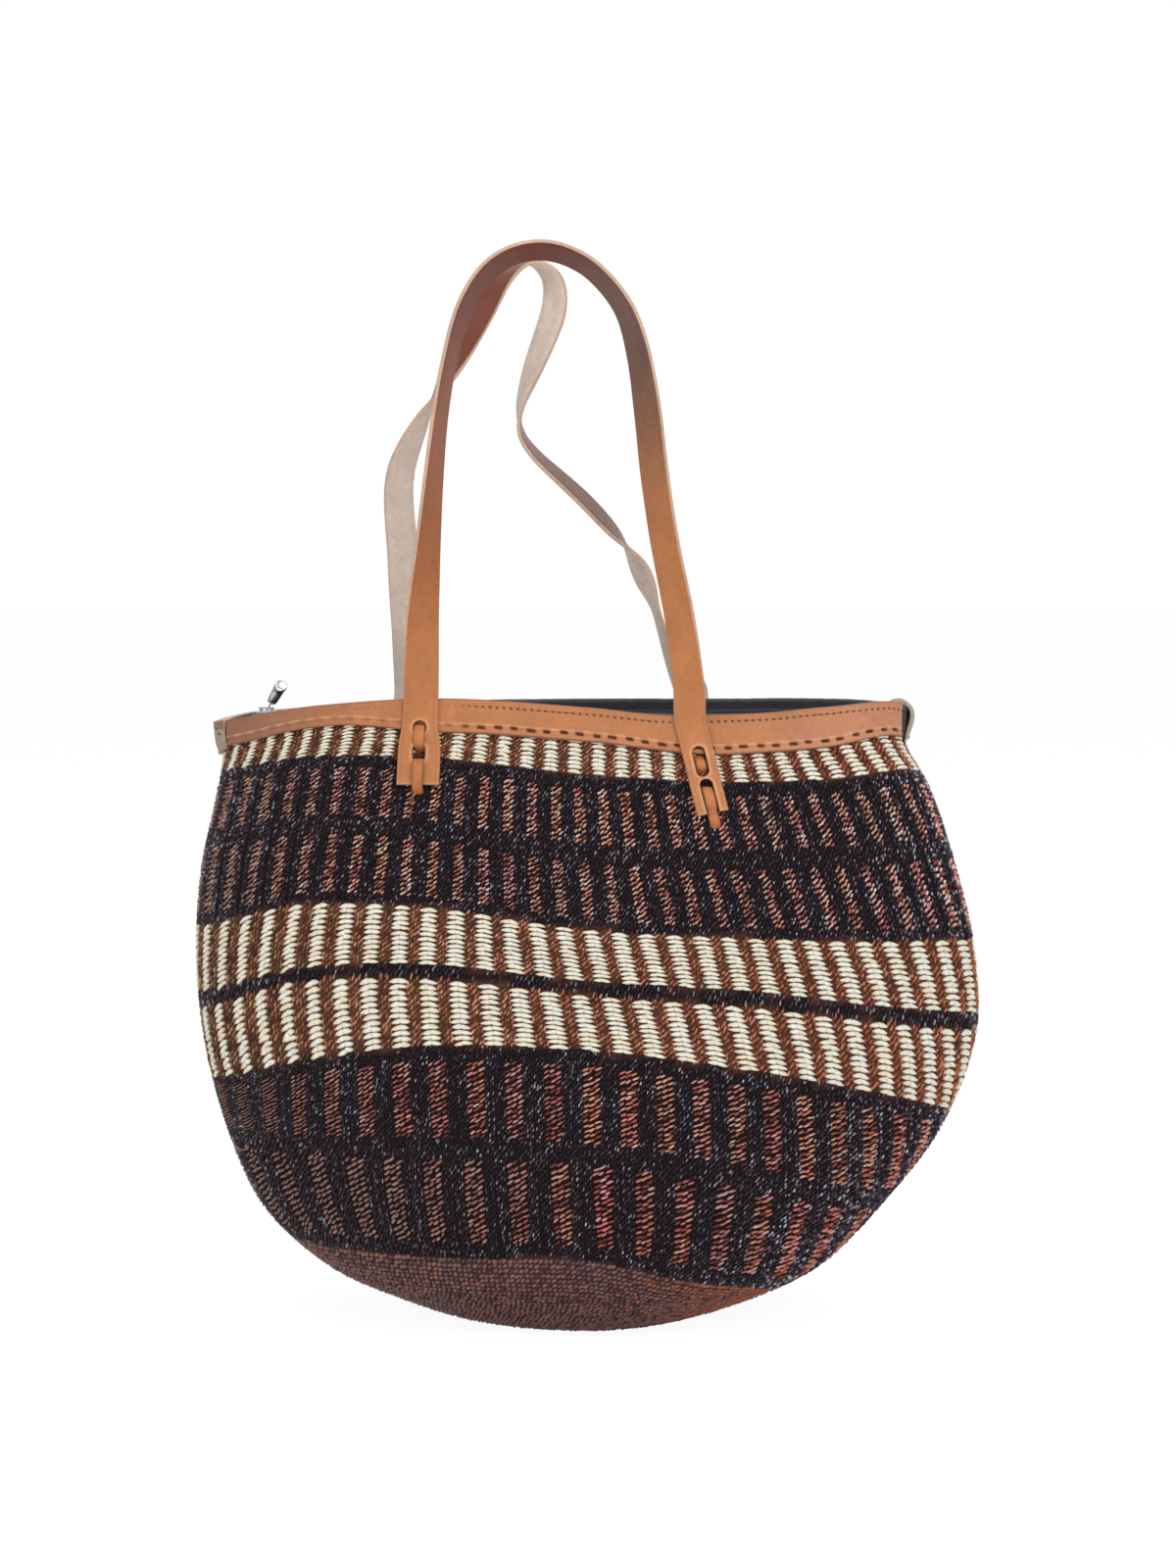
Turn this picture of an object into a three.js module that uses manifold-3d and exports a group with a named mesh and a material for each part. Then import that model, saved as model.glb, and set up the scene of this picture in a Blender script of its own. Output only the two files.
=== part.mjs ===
// Sisal bucket bag with a leather rim band, two leather carrying straps and a zip mouth.
// Millimetres. +X is the bag's right side seen from the front, +Y is the back, +Z is up.
// The origin is on the floor, under the middle of the bag.

import * as THREE from 'three';
import Module from 'manifold-3d';
import { mergeVertices } from 'three/addons/utils/BufferGeometryUtils.js';

const wasm = await Module();
wasm.setup();

// Basket outline: one ring per height, from the flat it stands on to the mouth.
// left and right are half widths, depth is the half depth, and the two fullness values
// fill out (+) or sharpen (-) the ring's left and right ends.
const mouthHeight = 316;
const basketRings = [
  { height: 0, left: 54, right: 34, depth: 32, leftFull: 0, rightFull: 0 },
  { height: 3, left: 75, right: 57, depth: 45, leftFull: 0, rightFull: 0 },
  { height: 12, left: 101, right: 88, depth: 57, leftFull: 0, rightFull: 0 },
  { height: 28, left: 136, right: 122, depth: 68, leftFull: 0.02, rightFull: -0.05 },
  { height: 58, left: 168, right: 152, depth: 76, leftFull: 0.05, rightFull: -0.15 },
  { height: 98, left: 186, right: 182, depth: 79, leftFull: 0.05, rightFull: -0.2 },
  { height: 146, left: 197.5, right: 199.5, depth: 78, leftFull: 0.05, rightFull: -0.25 },
  { height: 192, left: 200.7, right: 198, depth: 74, leftFull: 0.05, rightFull: -0.25 },
  { height: 236, left: 197.5, right: 187.5, depth: 66, leftFull: 0.05, rightFull: -0.15 },
  { height: 274, left: 190, right: 174.5, depth: 51, leftFull: 0.15, rightFull: 0.1 },
  { height: 297, left: 186, right: 162, depth: 39, leftFull: 0.3, rightFull: 0.35 },
  { height: mouthHeight, left: 186.5, right: 161.5, depth: 35, leftFull: 0.42, rightFull: 0.45 },
];
// Height of the rim above mouthHeight, from the right end round the back to the left end
// and along the front, at equal steps of angle.
const rimWave = [-1, 1, 1.5, 1, 1, 0, -3, -5, -8, -4, 3, 6.5, 2, -4.5, 0.5, 3.8];
const waveStart = 200;
const waveFull = 300;
const ringSides = 56;
const rowStep = 0.72;

// Thicknesses and the clearances that separate the sewn layers
const wallThickness = 4;
const gap = 0.3;
const seat = 0.4;
const strapSeat = 0.7;
const leather = 2.2;
const bandThickness = 2;
const liningThickness = 1;
const laceSpace = 2.6;

// Rim band and its two seams
const bandHeight = 17;
// The front band is lower at its left end, and widens between these two angles
const lowBandHeight = 10.9;
const lowBandAngles = [-133, -116];
const topSeamDown = 3.5;
const lowerSeamDown = 13.6;
const seamGroove = { width: 0.9, depth: 0.65 };
const threadSize = 0.5;
const frontBandEndAngle = 13.5;
const rearBandEndAngle = 15;
const rearBandReach = 11;
const bandEndSlant = 0.35;
const bandSteps = 24;

// Facing over the wall's top edge
const facingThickness = 1;
const facingDepth = 7;
const tab = {
  thickness: 0.9, lift: 0.1, height: 15.4, topDown: 0.6, frontAngle: 12.4, rearAngle: 7.5,
};

// Straps and laces
const strapWidth = 17.5;
const strapEndWidth = 21;
const strapFlare = 12;
const strapDrop = 11;
const strapHold = 2;
const flexGap = 0.6;
const loopDepth = 38.1;
const frontFlexHeight = 327;
const rearFlexHeight = 321;
const laceWidth = 5;
const laceThickness = 1.5;
const laceHoleSide = 0.5;
const loopSteps = 4;
const laceSteps = 2;

// Zip
const panelTop = 309.5;
const panelThickness = 1.2;
const panelEdgeGap = 0.6;
const windowLeft = -135;
const windowRight = 118;
const flapFold = 19.5;
const flapInset = 0.5;
const borderInset = 0.7;
const zipHalfGap = 1.4;
const coil = { width: 2.2, height: 1.8 };
const sliderStart = -163.6;
const sliderTravel = 300;
const slider = { length: 10, plate: 0.9, flange: 0.7, width: 9.3, bottomWidth: 7.6 };
const keel = { width: 2.1, rear: 3, front: 4 };
const sliderRun = { stop: 6.6, stopLength: 1.8 };
const bridge = { length: 7.4, width: 2.2, rise: 2.3, bar: 0.8, leg: 1.8 };
const pull = {
  length: 16.5, neck: 4.6, taper: 5.6, head: 1.6, rounding: 0.4,
  neckRadius: 1.4, bodyRadius: 2.7, headRadius: 3.5, pin: 0.45, arm: 0.8, overlap: 1,
};
const pullTilt = 31;
const roundSides = 16;

// Materials, in the colours of the real surfaces
function material(colour, roughness, metalness = 0) {
  return new THREE.MeshStandardMaterial({ color: colour, roughness, metalness });
}
const sisal = material(0xe6d9c3, 0.9);
const tan = material(0xc08050, 0.6);
const black = material(0x24222a, 0.85);
const thread = material(0xe9dcc6, 0.8);
const nylon = material(0x1d1c20, 0.5);
const metal = material(0x8d8f92, 0.35, 0.9);

const toRadians = THREE.MathUtils.degToRad;
const { lerp, smoothstep } = THREE.MathUtils;

// A smooth curve through a list of numbers, read at a fractional index
function readSpline(count, valueAt, position, closed = false) {
  const span = closed ? count : count - 1;
  const clamped = closed ? position : Math.min(Math.max(position, 0), span - 1e-9);
  const index = Math.floor(clamped);
  const t = clamped - index;
  const pick = (i) => {
    if (closed) {
      return valueAt(((i % count) + count) % count);
    }
    return valueAt(Math.min(Math.max(i, 0), count - 1));
  };
  const [a, b, c, d] = [index - 1, index, index + 1, index + 2].map(pick);
  const slopeIn = (c - a) / 2;
  const slopeOut = (d - b) / 2;
  const t2 = t * t;
  const t3 = t2 * t;
  return b * (2 * t3 - 3 * t2 + 1) + slopeIn * (t3 - 2 * t2 + t)
    + c * (3 * t2 - 2 * t3) + slopeOut * (t3 - t2);
}

// Basket surface

function ringValue(name, row) {
  return readSpline(basketRings.length, (i) => basketRings[i][name], row);
}

const lastRow = basketRings.length - 1;

// The fractional row of the outline at a height
function rowAt(height) {
  let low = 0;
  let high = lastRow;
  for (let step = 0; step < 40; step += 1) {
    const middle = (low + high) / 2;
    if (ringValue('height', middle) < height) {
      low = middle;
    } else {
      high = middle;
    }
  }
  return (low + high) / 2;
}

function waveAt(angle) {
  const turn = (angle / (2 * Math.PI)) * rimWave.length;
  return readSpline(rimWave.length, (i) => rimWave[i], turn, true);
}

function outerPoint(angle, row) {
  const c = Math.cos(angle);
  const height = ringValue('height', row);
  const half = ringValue(c > 0 ? 'right' : 'left', row);
  const full = lerp(ringValue('leftFull', row), ringValue('rightFull', row), (1 + c) / 2);
  const y = ringValue('depth', row) * Math.sin(angle) * (1 + full * c * c);
  const lift = waveAt(angle) * smoothstep(height, waveStart, waveFull);
  return new THREE.Vector3(half * c, y, height + lift);
}

// A small step of angle and row, over which the surface's slopes are measured
const nudge = 1e-3;

function outwardNormal(angle, row) {
  if (row < nudge) {
    return new THREE.Vector3(0, 0, -1);
  }
  const lower = Math.min(Math.max(row, nudge), lastRow - nudge);
  const around = outerPoint(angle + nudge, lower).sub(outerPoint(angle - nudge, lower));
  const upward = outerPoint(angle, lower + nudge).sub(outerPoint(angle, lower - nudge));
  return around.cross(upward).normalize();
}

// A point at an angle and a nominal height, offset outwards from the wall's outer face
function skinPoint(angle, height, offset) {
  const row = rowAt(height);
  return outerPoint(angle, row).addScaledVector(outwardNormal(angle, row), offset);
}

// Solids

function signedVolume(points, faces) {
  const cross = new THREE.Vector3();
  return faces.reduce((sum, [a, b, c]) => (
    sum + points[a].dot(cross.crossVectors(points[b], points[c])) / 6), 0);
}

function solid(points, faces) {
  const inward = signedVolume(points, faces) < 0;
  const ordered = inward ? faces.map(([a, b, c]) => [a, c, b]) : faces;
  const geometry = new THREE.BufferGeometry();
  geometry.setFromPoints(points);
  geometry.setIndex(ordered.flat());
  geometry.computeVertexNormals();
  return geometry;
}

// Faces between each section and the next
function sideFaces(sectionCount, sideCount, closed) {
  const faces = [];
  const spans = closed ? sectionCount : sectionCount - 1;
  for (let i = 0; i < spans; i += 1) {
    const next = (i + 1) % sectionCount;
    for (let j = 0; j < sideCount; j += 1) {
      const beside = (j + 1) % sideCount;
      const [a, b] = [i * sideCount + j, i * sideCount + beside];
      const [c, d] = [next * sideCount + beside, next * sideCount + j];
      faces.push([a, b, c], [a, c, d]);
    }
  }
  return faces;
}

// Sections of one profile joined in a row, capped at both ends or closed in a ring
function sweep(sections, profile, closed = false) {
  const faces = sideFaces(sections.length, profile.length, closed);
  if (!closed) {
    const contour = profile.map(([x, y]) => new THREE.Vector2(x, y));
    const wound = THREE.ShapeUtils.area(contour) > 0;
    const last = (sections.length - 1) * profile.length;
    THREE.ShapeUtils.triangulateShape(contour, []).forEach((face) => {
      const corners = face.map((i) => contour[i]);
      const same = (THREE.ShapeUtils.area(corners) > 0) === wound;
      const [a, b, c] = same ? face : [face[0], face[2], face[1]];
      faces.push([a, c, b], [last + a, last + b, last + c]);
    });
  }
  return solid(sections.flat(), faces);
}

// Rings joined in a row, with a flat fan on the first and on the last
function ringLoft(rings, firstCentre, lastCentre) {
  const sides = rings[0].length;
  const points = rings.flat();
  const faces = sideFaces(rings.length, sides, false);
  const first = points.push(firstCentre) - 1;
  const last = points.push(lastCentre) - 1;
  const start = (rings.length - 1) * sides;
  for (let j = 0; j < sides; j += 1) {
    const beside = (j + 1) % sides;
    faces.push([first, beside, j], [last, start + j, start + beside]);
  }
  return solid(points, faces);
}

function toManifold(geometry) {
  const bare = new THREE.BufferGeometry();
  bare.setAttribute('position', geometry.getAttribute('position'));
  bare.setIndex(geometry.getIndex());
  const merged = mergeVertices(bare, 1e-4);
  return new wasm.Manifold(new wasm.Mesh({
    numProp: 3,
    vertProperties: new Float32Array(merged.attributes.position.array),
    triVerts: new Uint32Array(merged.index.array),
  }));
}

function fromManifold(shape) {
  const mesh = shape.getMesh();
  const geometry = new THREE.BufferGeometry();
  geometry.setAttribute('position', new THREE.BufferAttribute(mesh.vertProperties, 3));
  geometry.setIndex(new THREE.BufferAttribute(mesh.triVerts, 1));
  geometry.computeVertexNormals();
  return geometry;
}

function cutAll(geometry, cutters) {
  const shape = cutters.reduce(
    (left, cutter) => left.subtract(toManifold(cutter)),
    toManifold(geometry),
  );
  return fromManifold(shape);
}

function joinAll(geometries) {
  return fromManifold(geometries.map(toManifold).reduce((a, b) => a.add(b)));
}

function block(x, y, z) {
  const box = new THREE.BoxGeometry(x[1] - x[0], y[1] - y[0], z[1] - z[0]);
  box.translate((x[0] + x[1]) / 2, (y[0] + y[1]) / 2, (z[0] + z[1]) / 2);
  return box;
}

// Shells round the basket

function ringAt(row, offset) {
  return Array.from({ length: ringSides }, (_, j) => {
    const angle = (j / ringSides) * 2 * Math.PI;
    return outerPoint(angle, row).addScaledVector(outwardNormal(angle, row), offset);
  });
}

// A closed shell between two offsets, from the flat base up to a nominal height
function basketShell(outside, inside, topHeight, step) {
  const topRow = rowAt(topHeight);
  const count = Math.floor(topRow / step + 0.7);
  const rows = Array.from({ length: count }, (_, i) => i * step).concat(topRow);
  const outer = rows.map((row) => ringAt(row, outside));
  const inner = rows.map((row) => ringAt(row, inside)).reverse();
  const floor = (offset) => new THREE.Vector3(0, 0, -offset);
  return ringLoft([...outer, ...inner], floor(outside), floor(inside));
}

// Strips along the rim: a profile in (offset outwards, distance down from the rim)

function rimSection(angle, profile) {
  return profile.map(([offset, down]) => skinPoint(angle, mouthHeight - down, offset));
}

function rimAngles(fromDegrees, toDegrees, steps) {
  return Array.from({ length: steps + 1 }, (_, i) => (
    toRadians(lerp(fromDegrees, toDegrees, i / steps))));
}

// Straight run-on of a strip past its last angle, shorter towards its lower edge
function runOn(angle, profile, turn) {
  return [1 / 3, 2 / 3, 1].map((share) => profile.map(([offset, down]) => {
    const height = mouthHeight - down;
    const here = skinPoint(angle, height, offset);
    const ahead = skinPoint(angle + turn * nudge, height, offset).sub(here).setZ(0).normalize();
    const reach = rearBandReach * share * (1 - bandEndSlant * (down / bandHeight));
    return here.addScaledVector(ahead, reach);
  }));
}

// A section of the front strip: what lies below its middle follows the lower edge
function frontSection(angle, profile) {
  const [low, full] = lowBandAngles.map(toRadians);
  const raise = (bandHeight - lowBandHeight) * (1 - smoothstep(angle, low, full));
  return rimSection(angle, profile.map(([offset, down]) => (
    [offset, down > bandHeight / 2 ? down - raise : down])));
}

function frontStrip(profile) {
  const angles = rimAngles(-frontBandEndAngle, frontBandEndAngle - 180, bandSteps);
  return sweep(angles.map((angle) => frontSection(angle, profile)), profile);
}

function rearStrip(profile) {
  const angles = rimAngles(rearBandEndAngle, 180 - rearBandEndAngle, bandSteps);
  const middle = angles.map((angle) => rimSection(angle, profile));
  const right = runOn(angles[0], profile, -1).reverse();
  const left = runOn(angles[bandSteps], profile, 1);
  return sweep([...right, ...middle, ...left], profile);
}

const bandInner = seat;
const bandOuter = seat + bandThickness;

function bandProfile() {
  const floor = bandOuter - seamGroove.depth;
  const half = seamGroove.width / 2;
  const groove = (down) => [
    [bandOuter, down - half],
    [floor, down - half],
    [floor, down + half],
    [bandOuter, down + half],
  ];
  return [
    [bandInner, 0],
    [bandOuter, 0],
    ...groove(topSeamDown),
    ...groove(lowerSeamDown),
    [bandOuter, bandHeight],
    [bandInner, bandHeight],
  ];
}

function threadProfile(down) {
  const outside = bandOuter - (seamGroove.depth - threadSize) / 3;
  const inside = outside - threadSize;
  const half = threadSize / 2;
  return [[inside, down - half], [outside, down - half], [outside, down + half], [inside, down + half]];
}

const facingOutside = -(wallThickness + gap);
const facingInside = facingOutside - facingThickness;
const wallTop = mouthHeight - facingThickness - gap;
const liningOutside = -(wallThickness + laceSpace);
const liningInside = liningOutside - liningThickness;
const liningTop = mouthHeight - facingDepth + 2;

function zipFacing() {
  const profile = [
    [0, 0],
    [facingInside, 0],
    [facingInside, facingDepth],
    [facingOutside, facingDepth],
    [facingOutside, facingThickness],
    [0, facingThickness],
  ];
  const angles = Array.from({ length: ringSides }, (_, j) => (j / ringSides) * 2 * Math.PI);
  return sweep(angles.map((angle) => rimSection(angle, profile)), profile, true);
}

function cornerTab(middle, turn) {
  const inside = bandInner + tab.lift;
  const outside = inside + tab.thickness;
  const low = tab.topDown + tab.height;
  const profile = [[inside, tab.topDown], [outside, tab.topDown], [outside, low], [inside, low]];
  const ends = [middle - turn * tab.frontAngle, middle + turn * tab.rearAngle];
  const angles = rimAngles(ends[0], ends[1], 8);
  return sweep(angles.map((angle) => rimSection(angle, profile)), profile);
}

// Ribbons of leather: a path with a facing direction and a width at each point. A heading
// squares a section to that direction where the ribbon doesn't end square to its own path.

function ribbon(path, thickness) {
  const count = path.length;
  const sections = path.map(({ point, facing, width, heading }, i) => {
    const ahead = path[Math.min(i + 1, count - 1)].point;
    const behind = path[Math.max(i - 1, 0)].point;
    const along = heading ? heading.clone() : ahead.clone().sub(behind).normalize();
    const out = facing.clone().addScaledVector(along, -facing.dot(along)).normalize();
    const across = along.clone().cross(out).multiplyScalar(width / 2);
    out.multiplyScalar(thickness / 2);
    const corner = (u, v) => point.clone().addScaledVector(across, u).addScaledVector(out, v);
    return [corner(-1, -1), corner(1, -1), corner(1, 1), corner(-1, 1)];
  });
  return sweep(sections, [[-1, -1], [1, -1], [1, 1], [-1, 1]]);
}

// The loop between a strap's two flex lines. Each knot is x, y, z and the turn of the
// grain side: 0 faces the front, 90 faces out of the loop, 180 faces the back.
const frontLoopKnots = [
  [-82.8, -loopDepth, frontFlexHeight + flexGap / 2, 0],
  [-82.2, -loopDepth, 362, -25],
  [-79, -loopDepth, 398, -45],
  [-75.4, -loopDepth, 436, -58],
  [-72.2, -loopDepth, 464, -63],
  [-67.9, -loopDepth, 490, -64],
  [-61, -loopDepth, 515, -62],
  [-50.5, -loopDepth, 532.5, -60],
  [-37, -loopDepth, 541.8, -57],
  [-22, -loopDepth, 544.5, -56],
  [-8, -loopDepth, 540.5, -57],
  [5, -loopDepth, 531.5, -60],
  [18, -loopDepth, 514.5, -60],
  [25, -loopDepth, 492, -52],
  [29.4, -loopDepth, 464, -42],
  [32.8, -loopDepth, 434, -38],
  [38, -loopDepth, 400, -36],
  [45.8, -loopDepth, 362, -28],
  [50.4, -loopDepth, frontFlexHeight + flexGap / 2, 0],
];
const rearLoopKnots = [
  [-92, loopDepth, rearFlexHeight + flexGap / 2, 180],
  [-95.8, loopDepth, 356, 180],
  [-98.2, 37, 394, 178],
  [-97, 34, 432, 160],
  [-87, 31, 461, 110],
  [-73.8, 30, 484, 50],
  [-58.5, 29, 511, 28],
  [-44, 29, 533.5, 50],
  [-29.5, 29, 541, 88],
  [-18.2, 29, 533, 122],
  [-17.2, 29, 518, 134],
  [-22.5, 29, 501, 131],
  [-29.5, 29, 483, 118],
  [-35, 29, 466, 96],
  [-34.3, 29, 453, 76],
  [-26.5, 29, 442, 69],
  [-14.5, 29, 431, 66],
  [-1, 29.3, 418.5, 63],
  [12.5, 30, 404, 70],
  [20, 30.6, 395, 92],
  [26, 31.3, 385.5, 118],
  [30.5, 32.2, 375, 120],
  [35, 33.4, 364, 98],
  [41.5, 35, 350, 108],
  [57.6, loopDepth, rearFlexHeight + flexGap / 2, 180],
];

function strapLoop(knots) {
  const steps = (knots.length - 1) * loopSteps;
  const path = Array.from({ length: steps + 1 }, (_, i) => {
    const place = i / loopSteps;
    const [x, y, z, turn] = [0, 1, 2, 3].map((k) => (
      readSpline(knots.length, (n) => knots[n][k], place)));
    return { point: new THREE.Vector3(x, y, z), turn: toRadians(turn), width: strapWidth };
  });
  const forward = new THREE.Vector3(0, -1, 0);
  path[0].heading = new THREE.Vector3(0, 0, 1);
  path[steps].heading = new THREE.Vector3(0, 0, -1);
  path.forEach((place, i) => {
    const ahead = path[Math.min(i + 1, steps)].point;
    const behind = path[Math.max(i - 1, 0)].point;
    const along = ahead.clone().sub(behind).normalize();
    const outOfLoop = forward.clone().cross(along).multiplyScalar(Math.sin(place.turn));
    place.facing = outOfLoop.addScaledVector(forward, Math.cos(place.turn));
  });
  return ribbon(path, leather);
}

// A strap's sewn end. side is -1 at the front and 1 at the back. Heights are nominal.
const typeLong = {
  slots: [[303.5, 309.5], [279.8, 296.6]],
  wallHoles: [[303.2, 309.4], [288, 294.2], [281, 286.8], [264.4, 272.4]],
  bandHoles: [[303.5, 309.5]],
  route: [
    [297, -5.3], [301.5, -5.3], [304.6, -4.7], [306, -2.6], [306.5, 0.5], [306.4, 3.4],
    [305.3, 5.5], [302.4, 6.2], [298.6, 6.2], [295.6, 5.5], [293.4, 3.6], [292.1, 0.9],
    [291, -2.4], [289.8, -4.6], [287.6, -5.3], [285.4, -4.6], [284.4, -2.4], [283.8, 0.6],
    [282.8, 3], [280.4, 4.2], [277.2, 4.3], [274.2, 4], [272, 2.6], [270.4, 0.4],
    [269.2, -2.4], [267.6, -4.7], [265, -5.3], [260, -5.3],
  ],
};
const typeShort = {
  slots: [[284.4, 298.2], [262, 281.4]],
  wallHoles: [[292.1, 298.4], [284.2, 290.4], [275.6, 282], [261, 269.6]],
  bandHoles: [],
  route: [
    [304, -5.3], [299.4, -5.3], [296.8, -4.7], [295.5, -2.4], [294.6, 0.4], [293, 2.2],
    [291, 2.8], [289.2, 2.2], [288, 0.4], [287.3, -2.4], [286.2, -4.6], [283.6, -5.3],
    [281.4, -5.2], [279.7, -3.8], [278.9, -1.4], [277.6, 0.9], [275.4, 1.9], [271.4, 1.9],
    [268.6, 1.3], [266.8, -0.5], [265.6, -2.8], [264.2, -4.7], [262, -5.2], [258.5, -5.2],
  ],
};
const strapEnds = [
  { name: 'front_left', side: -1, end: 275, x: [-85.4, -82.8], flex: frontFlexHeight, type: typeLong },
  { name: 'front_right', side: -1, end: 270, x: [61.6, 50.4], flex: frontFlexHeight, type: typeShort },
  { name: 'rear_left', side: 1, end: 275, x: [-93.5, -92], flex: rearFlexHeight, type: typeLong },
  { name: 'rear_right', side: 1, end: 275, x: [64, 57.6], flex: rearFlexHeight, type: typeLong },
];

const onBand = bandOuter + gap + leather / 2;
const onWall = strapSeat + leather / 2;
const throughStrap = [-2, 9];

function strapAngle(strap, height) {
  const x = lerp(strap.x[0], strap.x[1], (height - strap.end) / (mouthHeight - strap.end));
  const half = ringValue(x > 0 ? 'right' : 'left', rowAt(height));
  return strap.side * Math.acos(x / half);
}

function strapSkin(strap, height, offset) {
  return skinPoint(strapAngle(strap, height), height, offset);
}

function strapFacing(strap, height) {
  return outwardNormal(strapAngle(strap, height), rowAt(height));
}

function strapCutter(strap, [low, high], depth) {
  const width = laceWidth + 2 * laceHoleSide;
  const middle = (low + high) / 2;
  const facing = strapFacing(strap, middle);
  const lower = strapSkin(strap, low, 0);
  const upper = strapSkin(strap, high, 0);
  const along = upper.clone().sub(lower);
  const box = new THREE.BoxGeometry(width, along.length(), depth[1] - depth[0]);
  box.translate(0, 0, (depth[0] + depth[1]) / 2);
  along.normalize();
  const across = along.clone().cross(facing).normalize();
  const out = across.clone().cross(along);
  const frame = new THREE.Matrix4().makeBasis(across, along, out);
  frame.setPosition(lower.add(upper).multiplyScalar(0.5));
  box.applyMatrix4(frame);
  return box;
}

function strapEnd(strap) {
  const bandBottom = mouthHeight - bandHeight;
  const steps = 12;
  const path = Array.from({ length: steps + 1 }, (_, i) => {
    const height = lerp(strap.end, mouthHeight, i / steps);
    const rise = smoothstep(height, bandBottom - strapDrop, bandBottom - strapHold);
    const flare = 1 - smoothstep(height, strap.end, strap.end + strapFlare);
    return {
      point: strapSkin(strap, height, lerp(onWall, onBand, rise)),
      facing: strapFacing(strap, height),
      width: lerp(strapWidth, strapEndWidth, flare),
    };
  });
  const above = [strap.flex - 1.5 * flexGap, strap.flex - flexGap / 2].map((z) => ({
    point: new THREE.Vector3(strap.x[1], strap.side * loopDepth, z),
    facing: new THREE.Vector3(0, strap.side, 0),
    heading: new THREE.Vector3(0, 0, 1),
    width: strapWidth,
  }));
  const whole = ribbon([...path, ...above], leather);
  return cutAll(whole, strap.type.slots.map((slot) => strapCutter(strap, slot, throughStrap)));
}

function lace(strap) {
  const { route } = strap.type;
  const steps = (route.length - 1) * laceSteps;
  const spot = (place) => {
    const height = readSpline(route.length, (n) => route[n][0], place);
    const offset = readSpline(route.length, (n) => route[n][1], place);
    return strapSkin(strap, height, offset);
  };
  const points = Array.from({ length: steps + 1 }, (_, i) => spot(i / laceSteps));
  const sideways = strapFacing(strap, strap.end).cross(new THREE.Vector3(0, 0, 1));
  const path = points.map((point, i) => {
    const along = points[Math.min(i + 1, steps)].clone().sub(points[Math.max(i - 1, 0)]);
    return { point, facing: along.cross(sideways), width: laceWidth };
  });
  return ribbon(path, laceThickness);
}

// Zip

function plate(outline, z) {
  const shape = new THREE.Shape(outline.map(([x, y]) => new THREE.Vector2(x, y)));
  const geometry = new THREE.ExtrudeGeometry(shape, { depth: z[1] - z[0], bevelEnabled: false });
  geometry.translate(0, 0, z[0]);
  return geometry;
}

// The mouth's inner outline at an offset, between two x limits, on one side of the zip
function mouthEdge(offset, side, from, to) {
  const samples = 240;
  const inside = [];
  let before = null;
  for (let i = 0; i <= samples; i += 1) {
    const angle = side * lerp(Math.PI, 0, i / samples);
    const { x, y } = skinPoint(angle, panelTop, offset);
    if (before) {
      [from, to].filter((limit) => before[0] < limit && x >= limit).forEach((limit) => {
        const share = (limit - before[0]) / (x - before[0]);
        inside.push([limit, lerp(before[1], y, share)]);
      });
    }
    if (x > from && x < to && i % 5 === 0) {
      inside.push([x, y]);
    }
    before = [x, y];
  }
  return inside;
}

const panelBottom = panelTop - panelThickness;
const coilBottom = panelTop + gap;
const coilTop = coilBottom + coil.height;
const panelOffset = liningInside - panelEdgeGap;
const capOffset = liningInside - gap;
const sliderEnd = sliderStart + sliderTravel;

// The span between two distances from the zip's line, on one side of it
function sideSpan(side, near, far) {
  return side < 0 ? [-far, -near] : [near, far];
}

// The part of a panel that swings about its fold line
function zipPanel(side) {
  const x = [windowLeft + gap, windowRight - gap];
  return block(x, sideSpan(side, zipHalfGap, flapFold - flapInset), [panelBottom, panelTop]);
}

// The part of a panel between the fold line and the mouth's edge
function zipBorder(side) {
  const [from, to] = [windowLeft + gap, windowRight - gap];
  const edge = mouthEdge(panelOffset, side, from, to);
  const fold = side * (flapFold + borderInset);
  return plate([[from, fold], ...edge, [to, fold]], [panelBottom, panelTop]);
}

function coilBlock(side, x) {
  return block(x, sideSpan(side, zipHalfGap, zipHalfGap + coil.width), [coilBottom, coilTop]);
}

function stopX(end) {
  return end < 0 ? sliderStart - sliderRun.stop : sliderEnd + sliderRun.stop;
}

// A fixed end of the zip panel, slotted where the slider parks
function zipEnd(end) {
  const window = end < 0 ? windowLeft : windowRight;
  const limits = end < 0 ? [-Infinity, window] : [window, Infinity];
  const front = mouthEdge(capOffset, -1, ...limits);
  const rear = mouthEdge(capOffset, 1, ...limits);
  const opening = window - end * panelThickness;
  const slot = [Math.min(stopX(end), opening), Math.max(stopX(end), opening)];
  const through = [panelBottom - panelThickness, panelTop + panelThickness];
  return cutAll(plate([...front, ...rear.reverse()], [panelBottom, panelTop]), [
    block(slot, [-zipHalfGap, zipHalfGap], through),
  ]);
}

// The fixed end of the coil, both sides, joined by the end stop
function chainEnd(end) {
  const stop = stopX(end);
  const window = end < 0 ? windowLeft - gap : windowRight + gap;
  const x = [Math.min(stop, window), Math.max(stop, window)];
  const half = zipHalfGap + coil.width;
  const across = [stop - sliderRun.stopLength / 2, stop + sliderRun.stopLength / 2];
  return joinAll([
    coilBlock(-1, x),
    coilBlock(1, x),
    block(across, [-half, half], [coilBottom, coilTop]),
  ]);
}

const topPlateBottom = coilTop + gap;
const topPlateTop = topPlateBottom + slider.plate;
const bottomPlateTop = panelBottom - gap;
const bottomPlateBottom = bottomPlateTop - slider.plate;
const pivotHeight = topPlateTop + (bridge.rise - bridge.bar) / 2;

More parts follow.
